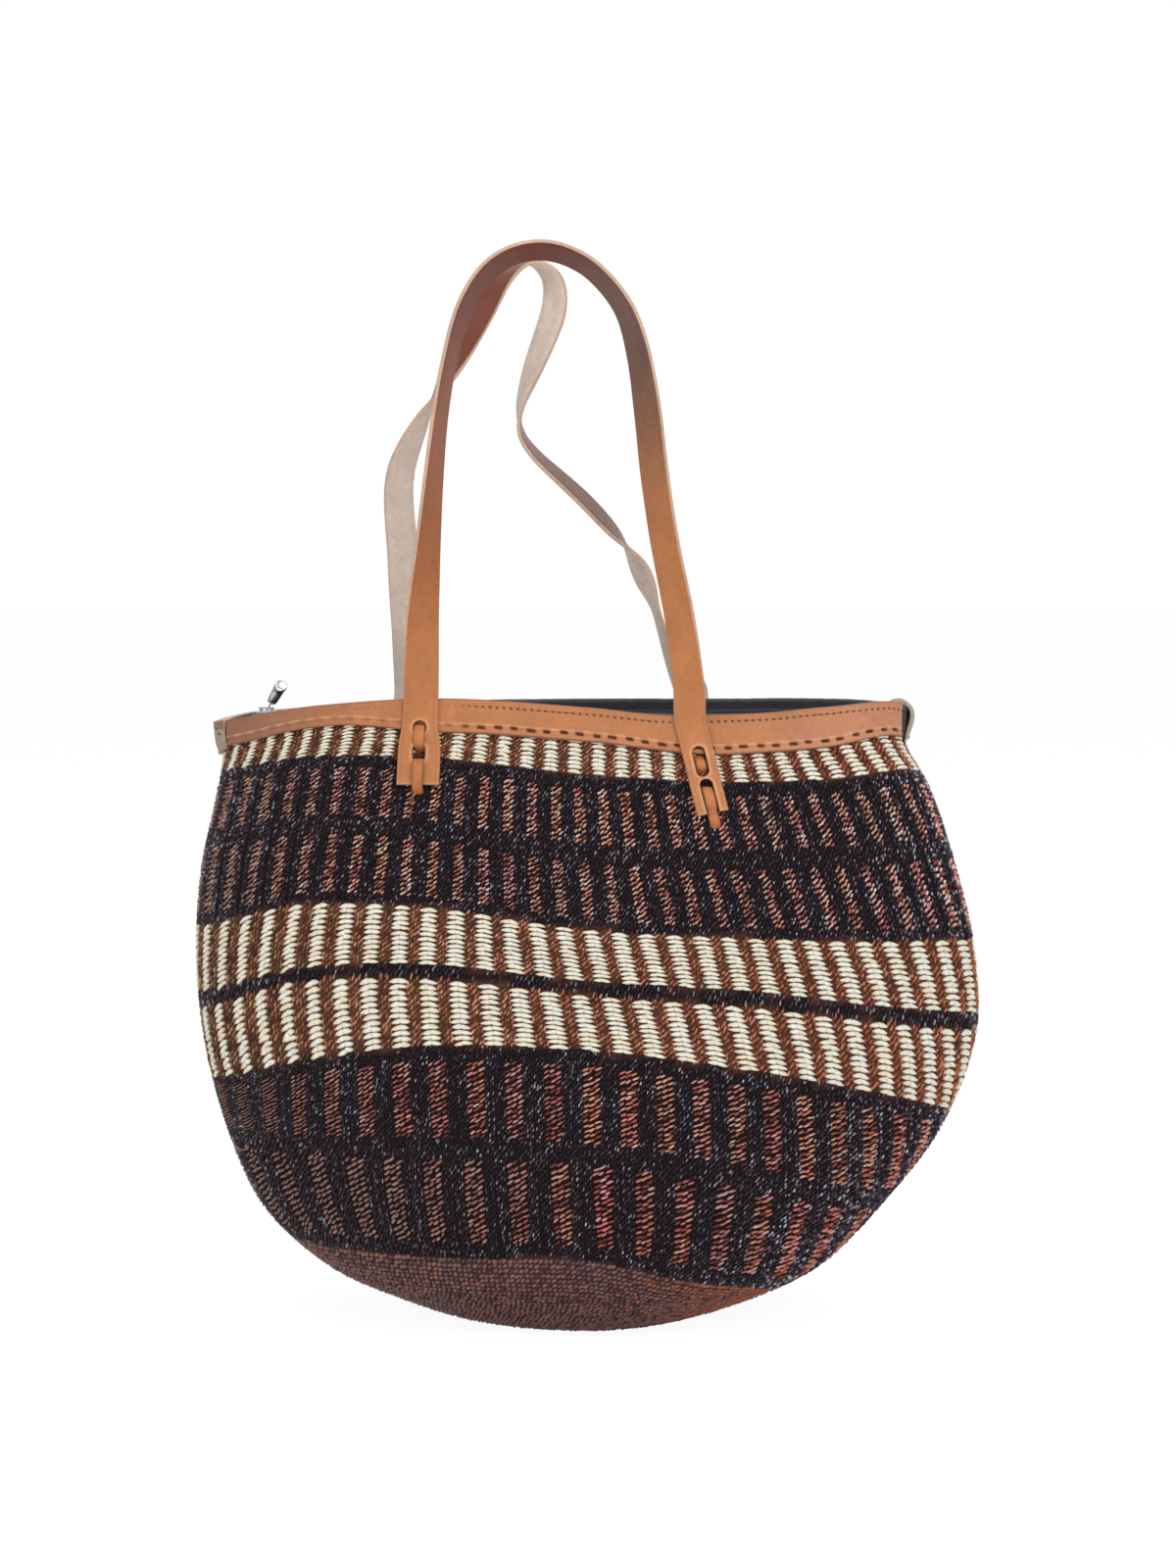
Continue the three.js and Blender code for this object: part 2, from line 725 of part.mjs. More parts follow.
function zipSlider() {
  const half = slider.length / 2;
  const x = [-half, half];
  const across = (width) => [-width / 2, width / 2];
  const flange = (side) => {
    const span = sideSpan(side, slider.width / 2 - slider.flange, slider.width / 2);
    return block(x, span, [panelTop + 2 * gap, topPlateTop]);
  };
  const leg = (end) => {
    const span = sideSpan(end, bridge.length / 2 - bridge.leg, bridge.length / 2);
    return block(span, across(bridge.width), [topPlateTop - gap, topPlateTop + bridge.rise]);
  };
  const bar = block(
    across(bridge.length),
    across(bridge.width),
    [topPlateTop + bridge.rise - bridge.bar, topPlateTop + bridge.rise],
  );
  return joinAll([
    block(x, across(slider.width), [topPlateBottom, topPlateTop]),
    block(x, across(slider.bottomWidth), [bottomPlateBottom, bottomPlateTop]),
    block([-keel.rear, keel.front], across(keel.width), [bottomPlateTop - gap, topPlateTop]),
    flange(-1),
    flange(1),
    leg(-1),
    leg(1),
    bar,
  ]);
}

// Pull: a pin under the bridge, two arms and a small turned barrel, upright
function zipPull() {
  const profile = [
    [0, pull.neck],
    [pull.neckRadius, pull.neck],
    [pull.bodyRadius, pull.neck + pull.taper],
    [pull.bodyRadius, pull.length - pull.head],
    [pull.headRadius, pull.length - pull.head],
    [pull.headRadius, pull.length - pull.rounding],
    [pull.headRadius - pull.rounding, pull.length],
    [0, pull.length],
  ].map(([r, z]) => new THREE.Vector2(r, z));
  const barrel = new THREE.LatheGeometry(profile, roundSides);
  barrel.rotateX(Math.PI / 2);
  const inner = bridge.width / 2 + gap;
  const reach = inner + pull.arm;
  const thick = [-pull.pin, pull.pin];
  const top = pull.neck + pull.overlap;
  const arm = (side) => block(thick, sideSpan(side, inner, reach), [-pull.pin, top]);
  return joinAll([
    barrel,
    block(thick, [-reach, reach], thick),
    block(thick, [-reach, reach], [pull.neck - pull.overlap / 2, top]),
    arm(-1),
    arm(1),
  ]);
}

// Assembly

const bag = new THREE.Group();

function add(name, geometry, look) {
  const mesh = new THREE.Mesh(geometry, look);
  mesh.name = name;
  bag.add(mesh);
  return mesh;
}

const wallDepth = [-wallThickness - 1, 1];
const bandDepth = [bandInner - 0.2, bandOuter + 1];

const wallCutters = strapEnds.flatMap((strap) => (
  strap.type.wallHoles.map((hole) => strapCutter(strap, hole, wallDepth))));
const wall = basketShell(0, -wallThickness, wallTop, rowStep);
add('basket_body', cutAll(wall, wallCutters), sisal);
add('lining', basketShell(liningOutside, liningInside, liningTop, 2 * rowStep), black);

function bandWithHoles(strip, side) {
  const cutters = strapEnds.filter((strap) => strap.side === side).flatMap((strap) => (
    strap.type.bandHoles.map((hole) => strapCutter(strap, hole, bandDepth))));
  return cutters.length ? cutAll(strip, cutters) : strip;
}

add('rim_band_front', bandWithHoles(frontStrip(bandProfile()), -1), tan);
add('rim_band_rear', bandWithHoles(rearStrip(bandProfile()), 1), tan);
add('top_seam_front', frontStrip(threadProfile(topSeamDown)), thread);
add('top_seam_rear', rearStrip(threadProfile(topSeamDown)), thread);
add('lower_seam_front', frontStrip(threadProfile(lowerSeamDown)), thread);
add('lower_seam_rear', rearStrip(threadProfile(lowerSeamDown)), thread);
add('zip_facing', zipFacing(), black);
add('corner_tab_left', cornerTab(180, -1), black);
add('corner_tab_right', cornerTab(0, 1), black);

strapEnds.forEach((strap) => {
  add(`strap_end_${strap.name}`, strapEnd(strap), tan);
  add(`lace_${strap.name}`, lace(strap), tan);
});
add('front_strap_loop', strapLoop(frontLoopKnots), tan);
add('rear_strap_loop', strapLoop(rearLoopKnots), tan);

add('zip_panel_front', zipPanel(-1), black);
add('zip_panel_rear', zipPanel(1), black);
add('zip_border_front', zipBorder(-1), black);
add('zip_border_rear', zipBorder(1), black);
const openCoil = [windowLeft + gap, windowRight - gap];
add('zip_coil_front', coilBlock(-1, openCoil), nylon);
add('zip_coil_rear', coilBlock(1, openCoil), nylon);
add('zip_end_left', zipEnd(-1), black);
add('zip_end_right', zipEnd(1), black);
add('zip_chain_end_left', chainEnd(-1), nylon);
add('zip_chain_end_right', chainEnd(1), nylon);
add('zip_slider', zipSlider(), metal).position.x = sliderStart;
const barrel = add('zip_pull', zipPull(), metal);
barrel.position.set(sliderStart, 0, pivotHeight);
barrel.rotation.y = toRadians(pullTilt);

export default bag;
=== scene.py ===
# Sisal bucket bag with a leather rim band, two carrying straps and a zip mouth: its looks,
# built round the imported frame. Sizes are in millimetres, and become metres as each mesh is made.
# +X is the bag's right side seen from the front, +Y is the back, +Z is up.

import math

import bpy
import numpy as np
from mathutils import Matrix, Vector


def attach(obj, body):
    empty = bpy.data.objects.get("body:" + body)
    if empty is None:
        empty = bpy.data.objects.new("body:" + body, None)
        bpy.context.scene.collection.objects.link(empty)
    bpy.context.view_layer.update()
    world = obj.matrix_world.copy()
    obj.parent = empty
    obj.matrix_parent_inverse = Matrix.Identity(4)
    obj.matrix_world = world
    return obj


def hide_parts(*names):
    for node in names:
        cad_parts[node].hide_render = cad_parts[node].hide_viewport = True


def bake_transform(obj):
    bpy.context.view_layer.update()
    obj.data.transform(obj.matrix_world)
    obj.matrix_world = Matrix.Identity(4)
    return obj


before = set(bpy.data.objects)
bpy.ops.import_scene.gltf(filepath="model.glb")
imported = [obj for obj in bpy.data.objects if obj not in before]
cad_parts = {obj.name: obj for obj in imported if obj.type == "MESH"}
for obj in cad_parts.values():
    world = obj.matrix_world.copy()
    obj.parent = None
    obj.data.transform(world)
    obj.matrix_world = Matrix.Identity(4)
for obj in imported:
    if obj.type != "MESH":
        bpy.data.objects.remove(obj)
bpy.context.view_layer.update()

MM = 0.001
SEED = 4
rng = np.random.default_rng(SEED)


# Camera

PHOTO_HEIGHT = 1600
FOCAL_PIXELS = 3200
AIM_ROW = 791.5
SENSOR = 36
AIM_HEIGHT = 280
VIEW_DISTANCE = 1600
ELEVATION = math.radians(6.5)


def make_camera():
    lens = bpy.data.cameras.new("camera")
    lens.sensor_width = SENSOR
    lens.lens = FOCAL_PIXELS * SENSOR / PHOTO_HEIGHT
    lens.shift_y = (AIM_ROW - PHOTO_HEIGHT / 2) / PHOTO_HEIGHT
    camera = bpy.data.objects.new("camera", lens)
    camera.location = (
        0,
        -VIEW_DISTANCE * math.cos(ELEVATION) * MM,
        (AIM_HEIGHT + VIEW_DISTANCE * math.sin(ELEVATION)) * MM,
    )
    camera.rotation_euler = (math.pi / 2 - ELEVATION, 0, 0)
    bpy.context.scene.collection.objects.link(camera)
    bpy.context.scene.camera = camera


# Shader nodes

def srgb(red, green, blue):
    """Linear values of a colour written as 0 to 255."""
    share = np.array([red, green, blue]) / 255
    return np.where(share <= 0.04045, share / 12.92, ((share + 0.055) / 1.055) ** 2.4)


def connect(tree, socket, value):
    if isinstance(value, bpy.types.NodeSocket):
        tree.links.new(value, socket)
    else:
        socket.default_value = value


def add_node(tree, kind, inputs=None, **settings):
    node = tree.nodes.new(kind)
    for name, value in settings.items():
        setattr(node, name, value)
    for key, value in (inputs or {}).items():
        connect(tree, node.inputs[key], value)
    return node


def attribute(tree, name, output="Color"):
    return add_node(tree, "ShaderNodeAttribute", attribute_name=name).outputs[output]


def math_node(tree, operation, first, second=0.0):
    return add_node(tree, "ShaderNodeMath", {0: first, 1: second}, operation=operation).outputs[0]


def scaled(tree, vector, scale):
    node = add_node(tree, "ShaderNodeVectorMath", {0: vector, 1: scale}, operation="MULTIPLY")
    return node.outputs[0]


def noise(tree, vector, scale, detail=3.0, roughness=0.5):
    inputs = {"Vector": vector, "Scale": scale, "Detail": detail, "Roughness": roughness}
    return add_node(tree, "ShaderNodeTexNoise", inputs).outputs["Fac"]


def ramp(tree, value, low, high, from_low=0.3, from_high=0.7):
    inputs = {"Value": value, 1: from_low, 2: from_high, 3: low, 4: high}
    return add_node(tree, "ShaderNodeMapRange", inputs).outputs[0]


def brighten(tree, colour, *factors):
    """The colour times some grey factors."""
    for factor in factors:
        grey = add_node(tree, "ShaderNodeCombineColor", {0: factor, 1: factor, 2: factor}).outputs[0]
        colour = blend_colour(tree, 1.0, colour, grey, "MULTIPLY")
    return colour


def blend_colour(tree, factor, first, second, kind="MIX"):
    inputs = {0: factor, 6: first, 7: second}
    return add_node(tree, "ShaderNodeMix", inputs, data_type="RGBA", blend_type=kind).outputs[2]


def bump(tree, height, distance, strength=1.0, under=None):
    inputs = {"Height": height, "Distance": distance * MM, "Strength": strength}
    if under is not None:
        inputs["Normal"] = under
    return add_node(tree, "ShaderNodeBump", inputs).outputs[0]


def seen_directly(tree):
    """1 where a surface is seen by itself, in a reflection or through glass, and else 0."""
    path = add_node(tree, "ShaderNodeLightPath").outputs
    seen = math_node(tree, "MAXIMUM", path["Is Camera Ray"], path["Is Glossy Ray"])
    return math_node(tree, "MAXIMUM", seen, path["Is Transmission Ray"])


def paint(tree, surface, **sockets):
    for name, value in sockets.items():
        connect(tree, surface.inputs[name.replace("_", " ")], value)


def make_material(name, build, **sockets):
    material = bpy.data.materials.new(name)
    material.use_nodes = True
    tree = material.node_tree
    surface = tree.nodes["Principled BSDF"]
    paint(tree, surface, **sockets)
    build(tree, surface)
    return material


# Materials. Tone is the colour that each mesh carries, painted shade and highlights included in
# places, Rest its place at rest in millimetres and Fibre a length along and across a strand.

def yarn_nodes(tree, surface):
    fibre = attribute(tree, "Fibre", "Vector")
    streaks = noise(tree, scaled(tree, fibre, (0.35, 3.2, 1.0)), 1.6, 4.0, 0.65)
    fuzz = noise(tree, attribute(tree, "Rest", "Vector"), 2.4, 2.0)
    factors = ramp(tree, streaks, 0.72, 1.25), ramp(tree, fuzz, 0.86, 1.12)
    tone = brighten(tree, attribute(tree, "Tone"), *factors)
    rough = ramp(tree, streaks, 0.72, 0.5)
    paint(tree, surface, Base_Color=tone, Roughness=rough, Normal=bump(tree, streaks, 0.5))


def wall_nodes(tree, surface):
    rest = attribute(tree, "Rest", "Vector")
    spots = noise(tree, rest, 0.9, 3.0)
    tone = brighten(tree, attribute(tree, "Tone"), ramp(tree, spots, 0.6, 1.4))
    paint(tree, surface, Base_Color=tone, Normal=bump(tree, spots, 0.5))


def leather_nodes(tree, surface):
    rest = attribute(tree, "Rest", "Vector")
    nap = attribute(tree, "Nap", "Fac")
    clouds = noise(tree, rest, 0.055, 3.0)
    mottle = noise(tree, rest, 0.35, 4.0, 0.6)
    grain = noise(tree, rest, 2.2, 4.0, 0.65)
    pores = add_node(tree, "ShaderNodeTexVoronoi", {"Vector": rest, "Scale": 1.5}).outputs["Distance"]
    specks = noise(tree, rest, 1.7, 1.0)
    factors = [ramp(tree, clouds, 0.9, 1.1), ramp(tree, mottle, 0.92, 1.08), ramp(tree, grain, 0.92, 1.07)]
    tone = brighten(tree, attribute(tree, "Tone"), *factors)
    dark_specks = ramp(tree, specks, 0.0, 0.55, 0.68, 0.74)
    tone = blend_colour(tree, dark_specks, tone, (*srgb(120, 62, 34), 1))
    shine = ramp(tree, mottle, 0.36, 0.48)
    rough = add_node(tree, "ShaderNodeMix", {0: nap, 2: shine, 3: 0.92}).outputs[0]
    hide = bump(tree, grain, 0.13, 1.0, bump(tree, pores, 0.09))
    paint(tree, surface, Base_Color=tone, Roughness=rough, Normal=hide)


def cloth_nodes(tree, surface):
    rest = attribute(tree, "Rest", "Vector")
    thread_pitch = 0.55
    turns = 2 * math.pi / thread_pitch
    spread = scaled(tree, rest, (turns, turns, turns))
    parts = add_node(tree, "ShaderNodeSeparateXYZ", {0: spread}).outputs
    across = math_node(tree, "SINE", math_node(tree, "ADD", parts[0], parts[2]))
    along = math_node(tree, "SINE", math_node(tree, "SUBTRACT", parts[1], parts[2]))
    weave = math_node(tree, "MULTIPLY", across, along)
    lint = noise(tree, rest, 0.8, 4.0)
    factors = ramp(tree, lint, 0.75, 1.3), ramp(tree, weave, 0.8, 1.2, -1, 1)
    tone = brighten(tree, attribute(tree, "Tone"), *factors)
    paint(tree, surface, Base_Color=tone, Normal=bump(tree, weave, 0.12))


def metal_nodes(tree, surface):
    rest = attribute(tree, "Rest", "Vector")
    wear = noise(tree, rest, 0.9, 4.0, 0.7)
    scratches = noise(tree, scaled(tree, rest, (1.0, 6.0, 0.4)), 1.8, 3.0)
    tone = brighten(tree, attribute(tree, "Tone"), ramp(tree, wear, 0.7, 1.15))
    rough = ramp(tree, wear, 0.24, 0.5)
    paint(tree, surface, Base_Color=tone, Roughness=rough, Normal=bump(tree, scratches, 0.04))


def nylon_nodes(tree, surface):
    wear = noise(tree, attribute(tree, "Rest", "Vector"), 1.2, 3.0)
    tone = brighten(tree, attribute(tree, "Tone"), ramp(tree, wear, 0.7, 1.4))
    paint(tree, surface, Base_Color=tone, Roughness=ramp(tree, wear, 0.35, 0.55))


yarn = make_material("yarn", yarn_nodes, Specular_IOR_Level=0.4)
wall_fibre = make_material("wall_fibre", wall_nodes, Roughness=0.95, Specular_IOR_Level=0.1)
leather = make_material("leather", leather_nodes, Specular_IOR_Level=0.34, Coat_Weight=0.08)
cloth = make_material("cloth", cloth_nodes, Roughness=0.85, Sheen_Weight=0.15, Sheen_Roughness=0.5)
metal = make_material("metal", metal_nodes, Metallic=1.0)
nylon = make_material("nylon", nylon_nodes)

LEATHER_TAN = srgb(183, 116, 70)
# The band's left colour is painted shade, and its right colour a painted highlight.
LEATHER_LEFT_SHADE = srgb(142, 94, 66)
LEATHER_RIGHT_HIGHLIGHT = srgb(190, 128, 94)
LEATHER_CUT = srgb(122, 70, 46)
# The holes' colour is painted shade inside holes, slots and slits.
HOLE_SHADE = srgb(46, 22, 14)
# Raised lips round holes and slots carry a painted highlight.
LIP_HIGHLIGHT = srgb(232, 176, 132)
CUT_EDGE = srgb(204, 172, 148)
FLESH_SIDE = srgb(216, 197, 183)
FLESH_SHADED = srgb(168, 150, 136)
LACE_TAN = srgb(188, 112, 62)
TAN_THREAD = srgb(112, 62, 42)
DARK_THREAD = srgb(104, 52, 34)
CLOTH_BLACK = srgb(46, 43, 52)
NYLON_BLACK = srgb(38, 37, 42)
NICKEL = srgb(188, 190, 192)


# Meshes

def piece(name, points, faces, material, tone, nap=None, fibre=None, bake_map=None):
    """A named mesh object. faces is a list of index arrays, one for each number of corners."""
    points = np.asarray(points, float).reshape(-1, 3)
    mesh = bpy.data.meshes.new(name)
    mesh.vertices.add(len(points))
    mesh.vertices.foreach_set("co", (points * MM).astype(np.float32).ravel())
    corners = np.concatenate([np.asarray(group).ravel() for group in faces])
    sizes = np.concatenate([np.full(len(group), np.shape(group)[1]) for group in faces])
    mesh.loops.add(len(corners))
    mesh.loops.foreach_set("vertex_index", corners.astype(np.int32))
    mesh.polygons.add(len(sizes))
    starts = np.concatenate([[0], np.cumsum(sizes)[:-1]]).astype(np.int32)
    mesh.polygons.foreach_set("loop_start", starts)
    mesh.update(calc_edges=True)
    dress(mesh, points, material, tone)
    if nap is not None:
        carry(mesh, "Nap", "FLOAT", "value", np.broadcast_to(np.ravel(nap), len(points)))
    if fibre is not None:
        carry(mesh, "Fibre", "FLOAT_VECTOR", "vector", fibre)
    if bake_map is not None:
        layer = mesh.uv_layers.new(name="OFBake")
        layer.uv.foreach_set("vector", bake_map[corners].astype(np.float32).ravel())
    return placed(name, mesh)


def placed(name, mesh):
    made = bpy.data.objects.new(name, mesh)
    bpy.context.scene.collection.objects.link(made)
    return made


def dress(mesh, points, material, tone):
    """Gives a mesh smooth faces, a material, and the place and colour of each point."""
    mesh.polygons.foreach_set("use_smooth", np.ones(len(mesh.polygons), bool))
    mesh.materials.clear()
    mesh.materials.append(material)
    carry(mesh, "Rest", "FLOAT_VECTOR", "vector", points)
    tone = np.broadcast_to(np.reshape(tone, (-1, 3)), (len(points), 3))
    carry(mesh, "Tone", "FLOAT_COLOR", "color", np.column_stack([tone, np.ones(len(points))]))


def carry(mesh, name, kind, field, values):
    layer = mesh.attributes.new(name, kind, "POINT")
    layer.data.foreach_set(field, np.asarray(values, np.float32).ravel())


def belongs(made, body, slot, *nodes):
    """The piece rides on a body and stands for CAD nodes, which are hidden. slot is not used."""
    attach(made, body)
    if nodes:
        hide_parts(*nodes)


def bends(made, bodies, start, end, slot, *nodes):
    """The piece's place is baked into its points, and the CAD nodes it stands for are hidden. bodies,
    start, end and slot are not used.
    """
    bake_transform(made)
    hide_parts(*nodes)


def tube_faces(sections, sides, closed):
    """Quads between rows of points, each row a closed outline."""
    spans = sections if closed else sections - 1
    i, j = np.meshgrid(np.arange(spans), np.arange(sides), indexing="ij")
    beside = (j + 1) % sides
    following = (i + 1) % sections
    quads = [i * sides + j, i * sides + beside, following * sides + beside, following * sides + j]
    return np.stack(quads, -1).reshape(-1, 4)


def tubes(name, points, material, tone, closed=False, **layers):
    """Tubes in one mesh, each a row of closed outlines with flat ends, or a ring of them."""
    count, stations, sides = points.shape[:3]
    size = stations * sides
    starts = np.arange(count)[:, None, None] * size
    faces = [(tube_faces(stations, sides, closed) + starts).reshape(-1, 4)]
    if not closed:
        caps = np.stack([np.arange(sides)[::-1], size - sides + np.arange(sides)])
        faces.append((caps + starts).reshape(-1, sides))
    made = piece(name, points, faces, material, tone, **layers)
    turn_outwards(made.data)
    return made


def tube(name, sections, material, tone, **options):
    return tubes(name, np.asarray(sections, float)[None], material, tone, **options)


def places_of(mesh):
    points = np.zeros(len(mesh.vertices) * 3)
    mesh.vertices.foreach_get("co", points)
    return points.reshape(-1, 3) / MM


def turn_outwards(mesh):
    """Faces that point inwards give a negative volume, and are flipped."""
    mesh.calc_loop_triangles()
    corners = np.zeros(len(mesh.loop_triangles) * 3, np.int32)
    mesh.loop_triangles.foreach_get("vertices", corners)
    a, b, c = places_of(mesh)[corners.reshape(-1, 3)].transpose(1, 0, 2)
    if np.einsum("ij,ij->i", a, np.cross(b, c)).sum() < 0:
        mesh.flip_normals()


def apply_modifiers(made):
    evaluated = made.evaluated_get(bpy.context.evaluated_depsgraph_get())
    final = bpy.data.meshes.new_from_object(evaluated)
    made.modifiers.clear()
    made.data = final


# Basket surface, the same as the frame's: an angle runs from the right end round the back,
# and a row runs from the base's centre (-1) over its edge (0) to the mouth (11).

MOUTH_HEIGHT = 316
RINGS = {
    "height": [0, 3, 12, 28, 58, 98, 146, 192, 236, 274, 297, MOUTH_HEIGHT],
    "left": [54, 75, 101, 136, 168, 186, 197.5, 200.7, 197.5, 190, 186, 186.5],
    "right": [34, 57, 88, 122, 152, 182, 199.5, 198, 187.5, 174.5, 162, 161.5],
    "depth": [32, 45, 57, 68, 76, 79, 78, 74, 66, 51, 39, 35],
    "left_full": [0, 0, 0, 0.02, 0.05, 0.05, 0.05, 0.05, 0.05, 0.15, 0.3, 0.42],
    "right_full": [0, 0, 0, -0.05, -0.15, -0.2, -0.25, -0.25, -0.15, 0.1, 0.35, 0.45],
}
RIM_WAVE = [-1, 1, 1.5, 1, 1, 0, -3, -5, -8, -4, 3, 6.5, 2, -4.5, 0.5, 3.8]
WAVE_START = 200
WAVE_FULL = 300
LAST_ROW = len(RINGS["height"]) - 1
NUDGE = 1e-3


def spline(values, place, closed=False):
    """A smooth curve through a list of numbers, read at fractional indices."""
    values = np.asarray(values, float)
    count = len(values)
    place = np.asarray(place, float)
    if not closed:
        place = np.clip(place, 0, count - 1 - 1e-9)
    index = np.floor(place).astype(int)
    t = place - index

    def pick(shift):
        wanted = index + shift
        return values[wanted % count if closed else np.clip(wanted, 0, count - 1)]

    a, b, c, d = (pick(shift) for shift in (-1, 0, 1, 2))
    slope_in = (c - a) / 2
    slope_out = (d - b) / 2
    return (b * (2 * t**3 - 3 * t**2 + 1) + slope_in * (t**3 - 2 * t**2 + t)
            + c * (3 * t**2 - 2 * t**3) + slope_out * (t**3 - t**2))


def curves(knots, place):
    return [spline(column, place) for column in zip(*knots)]


def smoothstep(value, low, high):
    share = np.clip((value - low) / (high - low), 0, 1)
    return share * share * (3 - 2 * share)


def bell(value, middle, width, power=2):
    """A smooth bump, 1 at its middle."""
    return np.exp(-((value - middle) / width) ** power)


def full_turn(count):
    return np.linspace(0, 2 * math.pi, count, endpoint=False)


def lengths_along(points):
    """The length of a row of points up to each of them."""
    return np.concatenate([[0], np.cumsum(np.linalg.norm(np.diff(points, axis=0), axis=1))])


def towards(first, second, share):
    return first * (1 - share) + second * share


def around(values, angle):
    """A closed curve of equal steps of angle, read at an angle."""
    return spline(values, np.asarray(angle) / (2 * math.pi) * len(values), closed=True)


def outer_point(angle, row):
    angle, row = np.broadcast_arrays(angle, row)
    flat = np.clip(1 + row, 0, 1)
    row = np.maximum(row, 0)
    c = np.cos(angle)
    height = spline(RINGS["height"], row)
    half = np.where(c > 0, spline(RINGS["right"], row), spline(RINGS["left"], row))
    left_full = spline(RINGS["left_full"], row)
    full = left_full + (spline(RINGS["right_full"], row) - left_full) * (1 + c) / 2
    y = spline(RINGS["depth"], row) * np.sin(angle) * (1 + full * c * c)
    lift = around(RIM_WAVE, angle) * smoothstep(height, WAVE_START, WAVE_FULL)
    return np.stack([half * c * flat, y * flat, height + lift], -1)


def unit(vectors):
    return vectors / np.maximum(np.linalg.norm(vectors, axis=-1, keepdims=True), 1e-12)


def outward(angle, row):
    angle, row = np.broadcast_arrays(angle, row)
    safe = np.clip(row, NUDGE, LAST_ROW - NUDGE)
    sideways = outer_point(angle + NUDGE, safe) - outer_point(angle - NUDGE, safe)
    upward = outer_point(angle, safe + NUDGE) - outer_point(angle, safe - NUDGE)
    normal = unit(np.cross(sideways, upward))
    return np.where(row[..., None] < NUDGE, (0.0, 0.0, -1.0), normal)


FINE_ROWS = np.linspace(0, LAST_ROW, 2201)
FINE_HEIGHTS = spline(RINGS["height"], FINE_ROWS)


def row_at(height):
    return np.interp(height, FINE_HEIGHTS, FINE_ROWS)


def skin_point(angle, row, offset):
    """A point offset outwards from the wall's outer face."""
    return outer_point(angle, row) + outward(angle, row) * np.asarray(offset)[..., None]


# Woven wall

WALL_THICKNESS = 4
WALL_TOP = 314.7
SKIN_LEVEL = -0.9
STITCH_PEAK = 0.6
STITCH_FOOT = -1.05
LOWEST = 0.05

# Lines where the weave changes, as heights at 16 equal steps of angle from the right end
# round the back to the left end and along the front, with the course that runs along each.
BASE_TOP = [14, 18, 26, 32, 38, 42, 44, 44, 44, 44, 45, 46, 46, 33, 25, 18]
LOWER_CREAM_FOOT = [106, 110, 118, 128, 134, 138, 136, 131, 126, 131, 144, 154, 153, 142, 127, 114]
LOWER_CREAM_HEAD = [150, 152, 156, 162, 167, 169, 167, 164, 161, 168, 183, 187, 180, 173, 162, 153]
BLACK_LINE_HEAD = [158, 160, 164, 170, 174, 176, 174, 171, 169, 176, 190, 194, 187, 181, 170, 162]
UPPER_CREAM_HEAD = [196, 199, 202, 206, 209, 210, 208, 205, 203, 209, 221, 221, 212, 207, 202, 199]
RIM_CREAM_FOOT = [283, 284, 285, 286, 286, 287, 288, 290, 290, 291, 291, 287, 284, 286, 282, 282]
LOW_GAP = [64, 68, 74, 82, 88, 92, 94, 96, 97, 99, 101, 102.7, 101.6, 89.6, 74.5, 66]
HIGH_GAP = [
    244.2, 245, 247, 249, 251, 252, 252.5, 252.8, 253, 254.5, 258.5, 254.4, 247.1, 246.5, 244.2, 243.3]
WEAVE_LINES = [
    (40, BASE_TOP),
    (60, LOW_GAP),
    (80, LOWER_CREAM_FOOT),
    (92, LOWER_CREAM_HEAD),
    (94, BLACK_LINE_HEAD),
    (106, UPPER_CREAM_HEAD),
    (122, HIGH_GAP),
    (138, RIM_CREAM_FOOT),
    (153, [MOUTH_HEIGHT] * 16),
]
FOOT_COPPER = (43, 58)
LOW_COPPER = (62.2, 76.6)
MID_COPPER = (107.6, 120.4)
HIGH_COPPER = (123.6, 135.3)
NO_COPPER = (0, 0)

# Where the dark dashes take a painted sheen and the copper bars painted shade towards the bag's left side,
# and how far.
HIGH_PAINTED_LIGHT = (-205, -110)
LOW_PAINTED_LIGHT = (-190, -60)
FOOT_PAINTED_LIGHT = (-120, 0)
DARK_SHEEN = 0.45
COPPER_LEFT_SHADE = 0.75

RIM_WHITE = 0.58
CREAM_WHITE = 0.62
FIN_PEAK = STITCH_PEAK + 0.12
FIN_OVERLAP = 0.8
PLACE_SPREAD = 0.12
BROWN_COLUMNS = 4
BROWN_RUN = 1.5
DARK_RUN = 0.8
COPPER_COLUMNS = 3
BASE_SPACING = 2.6

MERIDIAN_ROWS = np.linspace(-1, LAST_ROW, 2401)


def meridian_lengths():
    """Mean length of the wall's profile from the base's centre up to each row."""
    ways = [outer_point(angle, MERIDIAN_ROWS) for angle in (0, math.pi, -math.pi / 2)]
    steps = np.mean([np.linalg.norm(np.diff(way, axis=0), axis=1) for way in ways], 0)
    return np.concatenate([[0], np.cumsum(steps)])


MERIDIAN = meridian_lengths()
LINE_COURSES = np.array([0] + [course for course, _ in WEAVE_LINES], float)


def row_of_course(angle, course):
    """The wall's row where a course runs at an angle."""
    angle, course = np.broadcast_arrays(angle, course)
    lengths = [np.zeros(angle.shape)]
    for _, heights in WEAVE_LINES:
        lengths.append(np.interp(row_at(around(heights, angle)), MERIDIAN_ROWS, MERIDIAN))
    lengths = np.stack(lengths)
    index = np.clip(np.searchsorted(LINE_COURSES, course, "right") - 1, 0, len(LINE_COURSES) - 2)
    low = np.take_along_axis(lengths, index[None], 0)[0]
    high = np.take_along_axis(lengths, index[None] + 1, 0)[0]
    share = (course - LINE_COURSES[index]) / (LINE_COURSES[index + 1] - LINE_COURSES[index])
    return np.interp(low + (high - low) * share, MERIDIAN, MERIDIAN_ROWS)


RING_SAMPLES = 720
RING_ANGLES = np.linspace(math.pi / 2, 5 * math.pi / 2, RING_SAMPLES + 1)


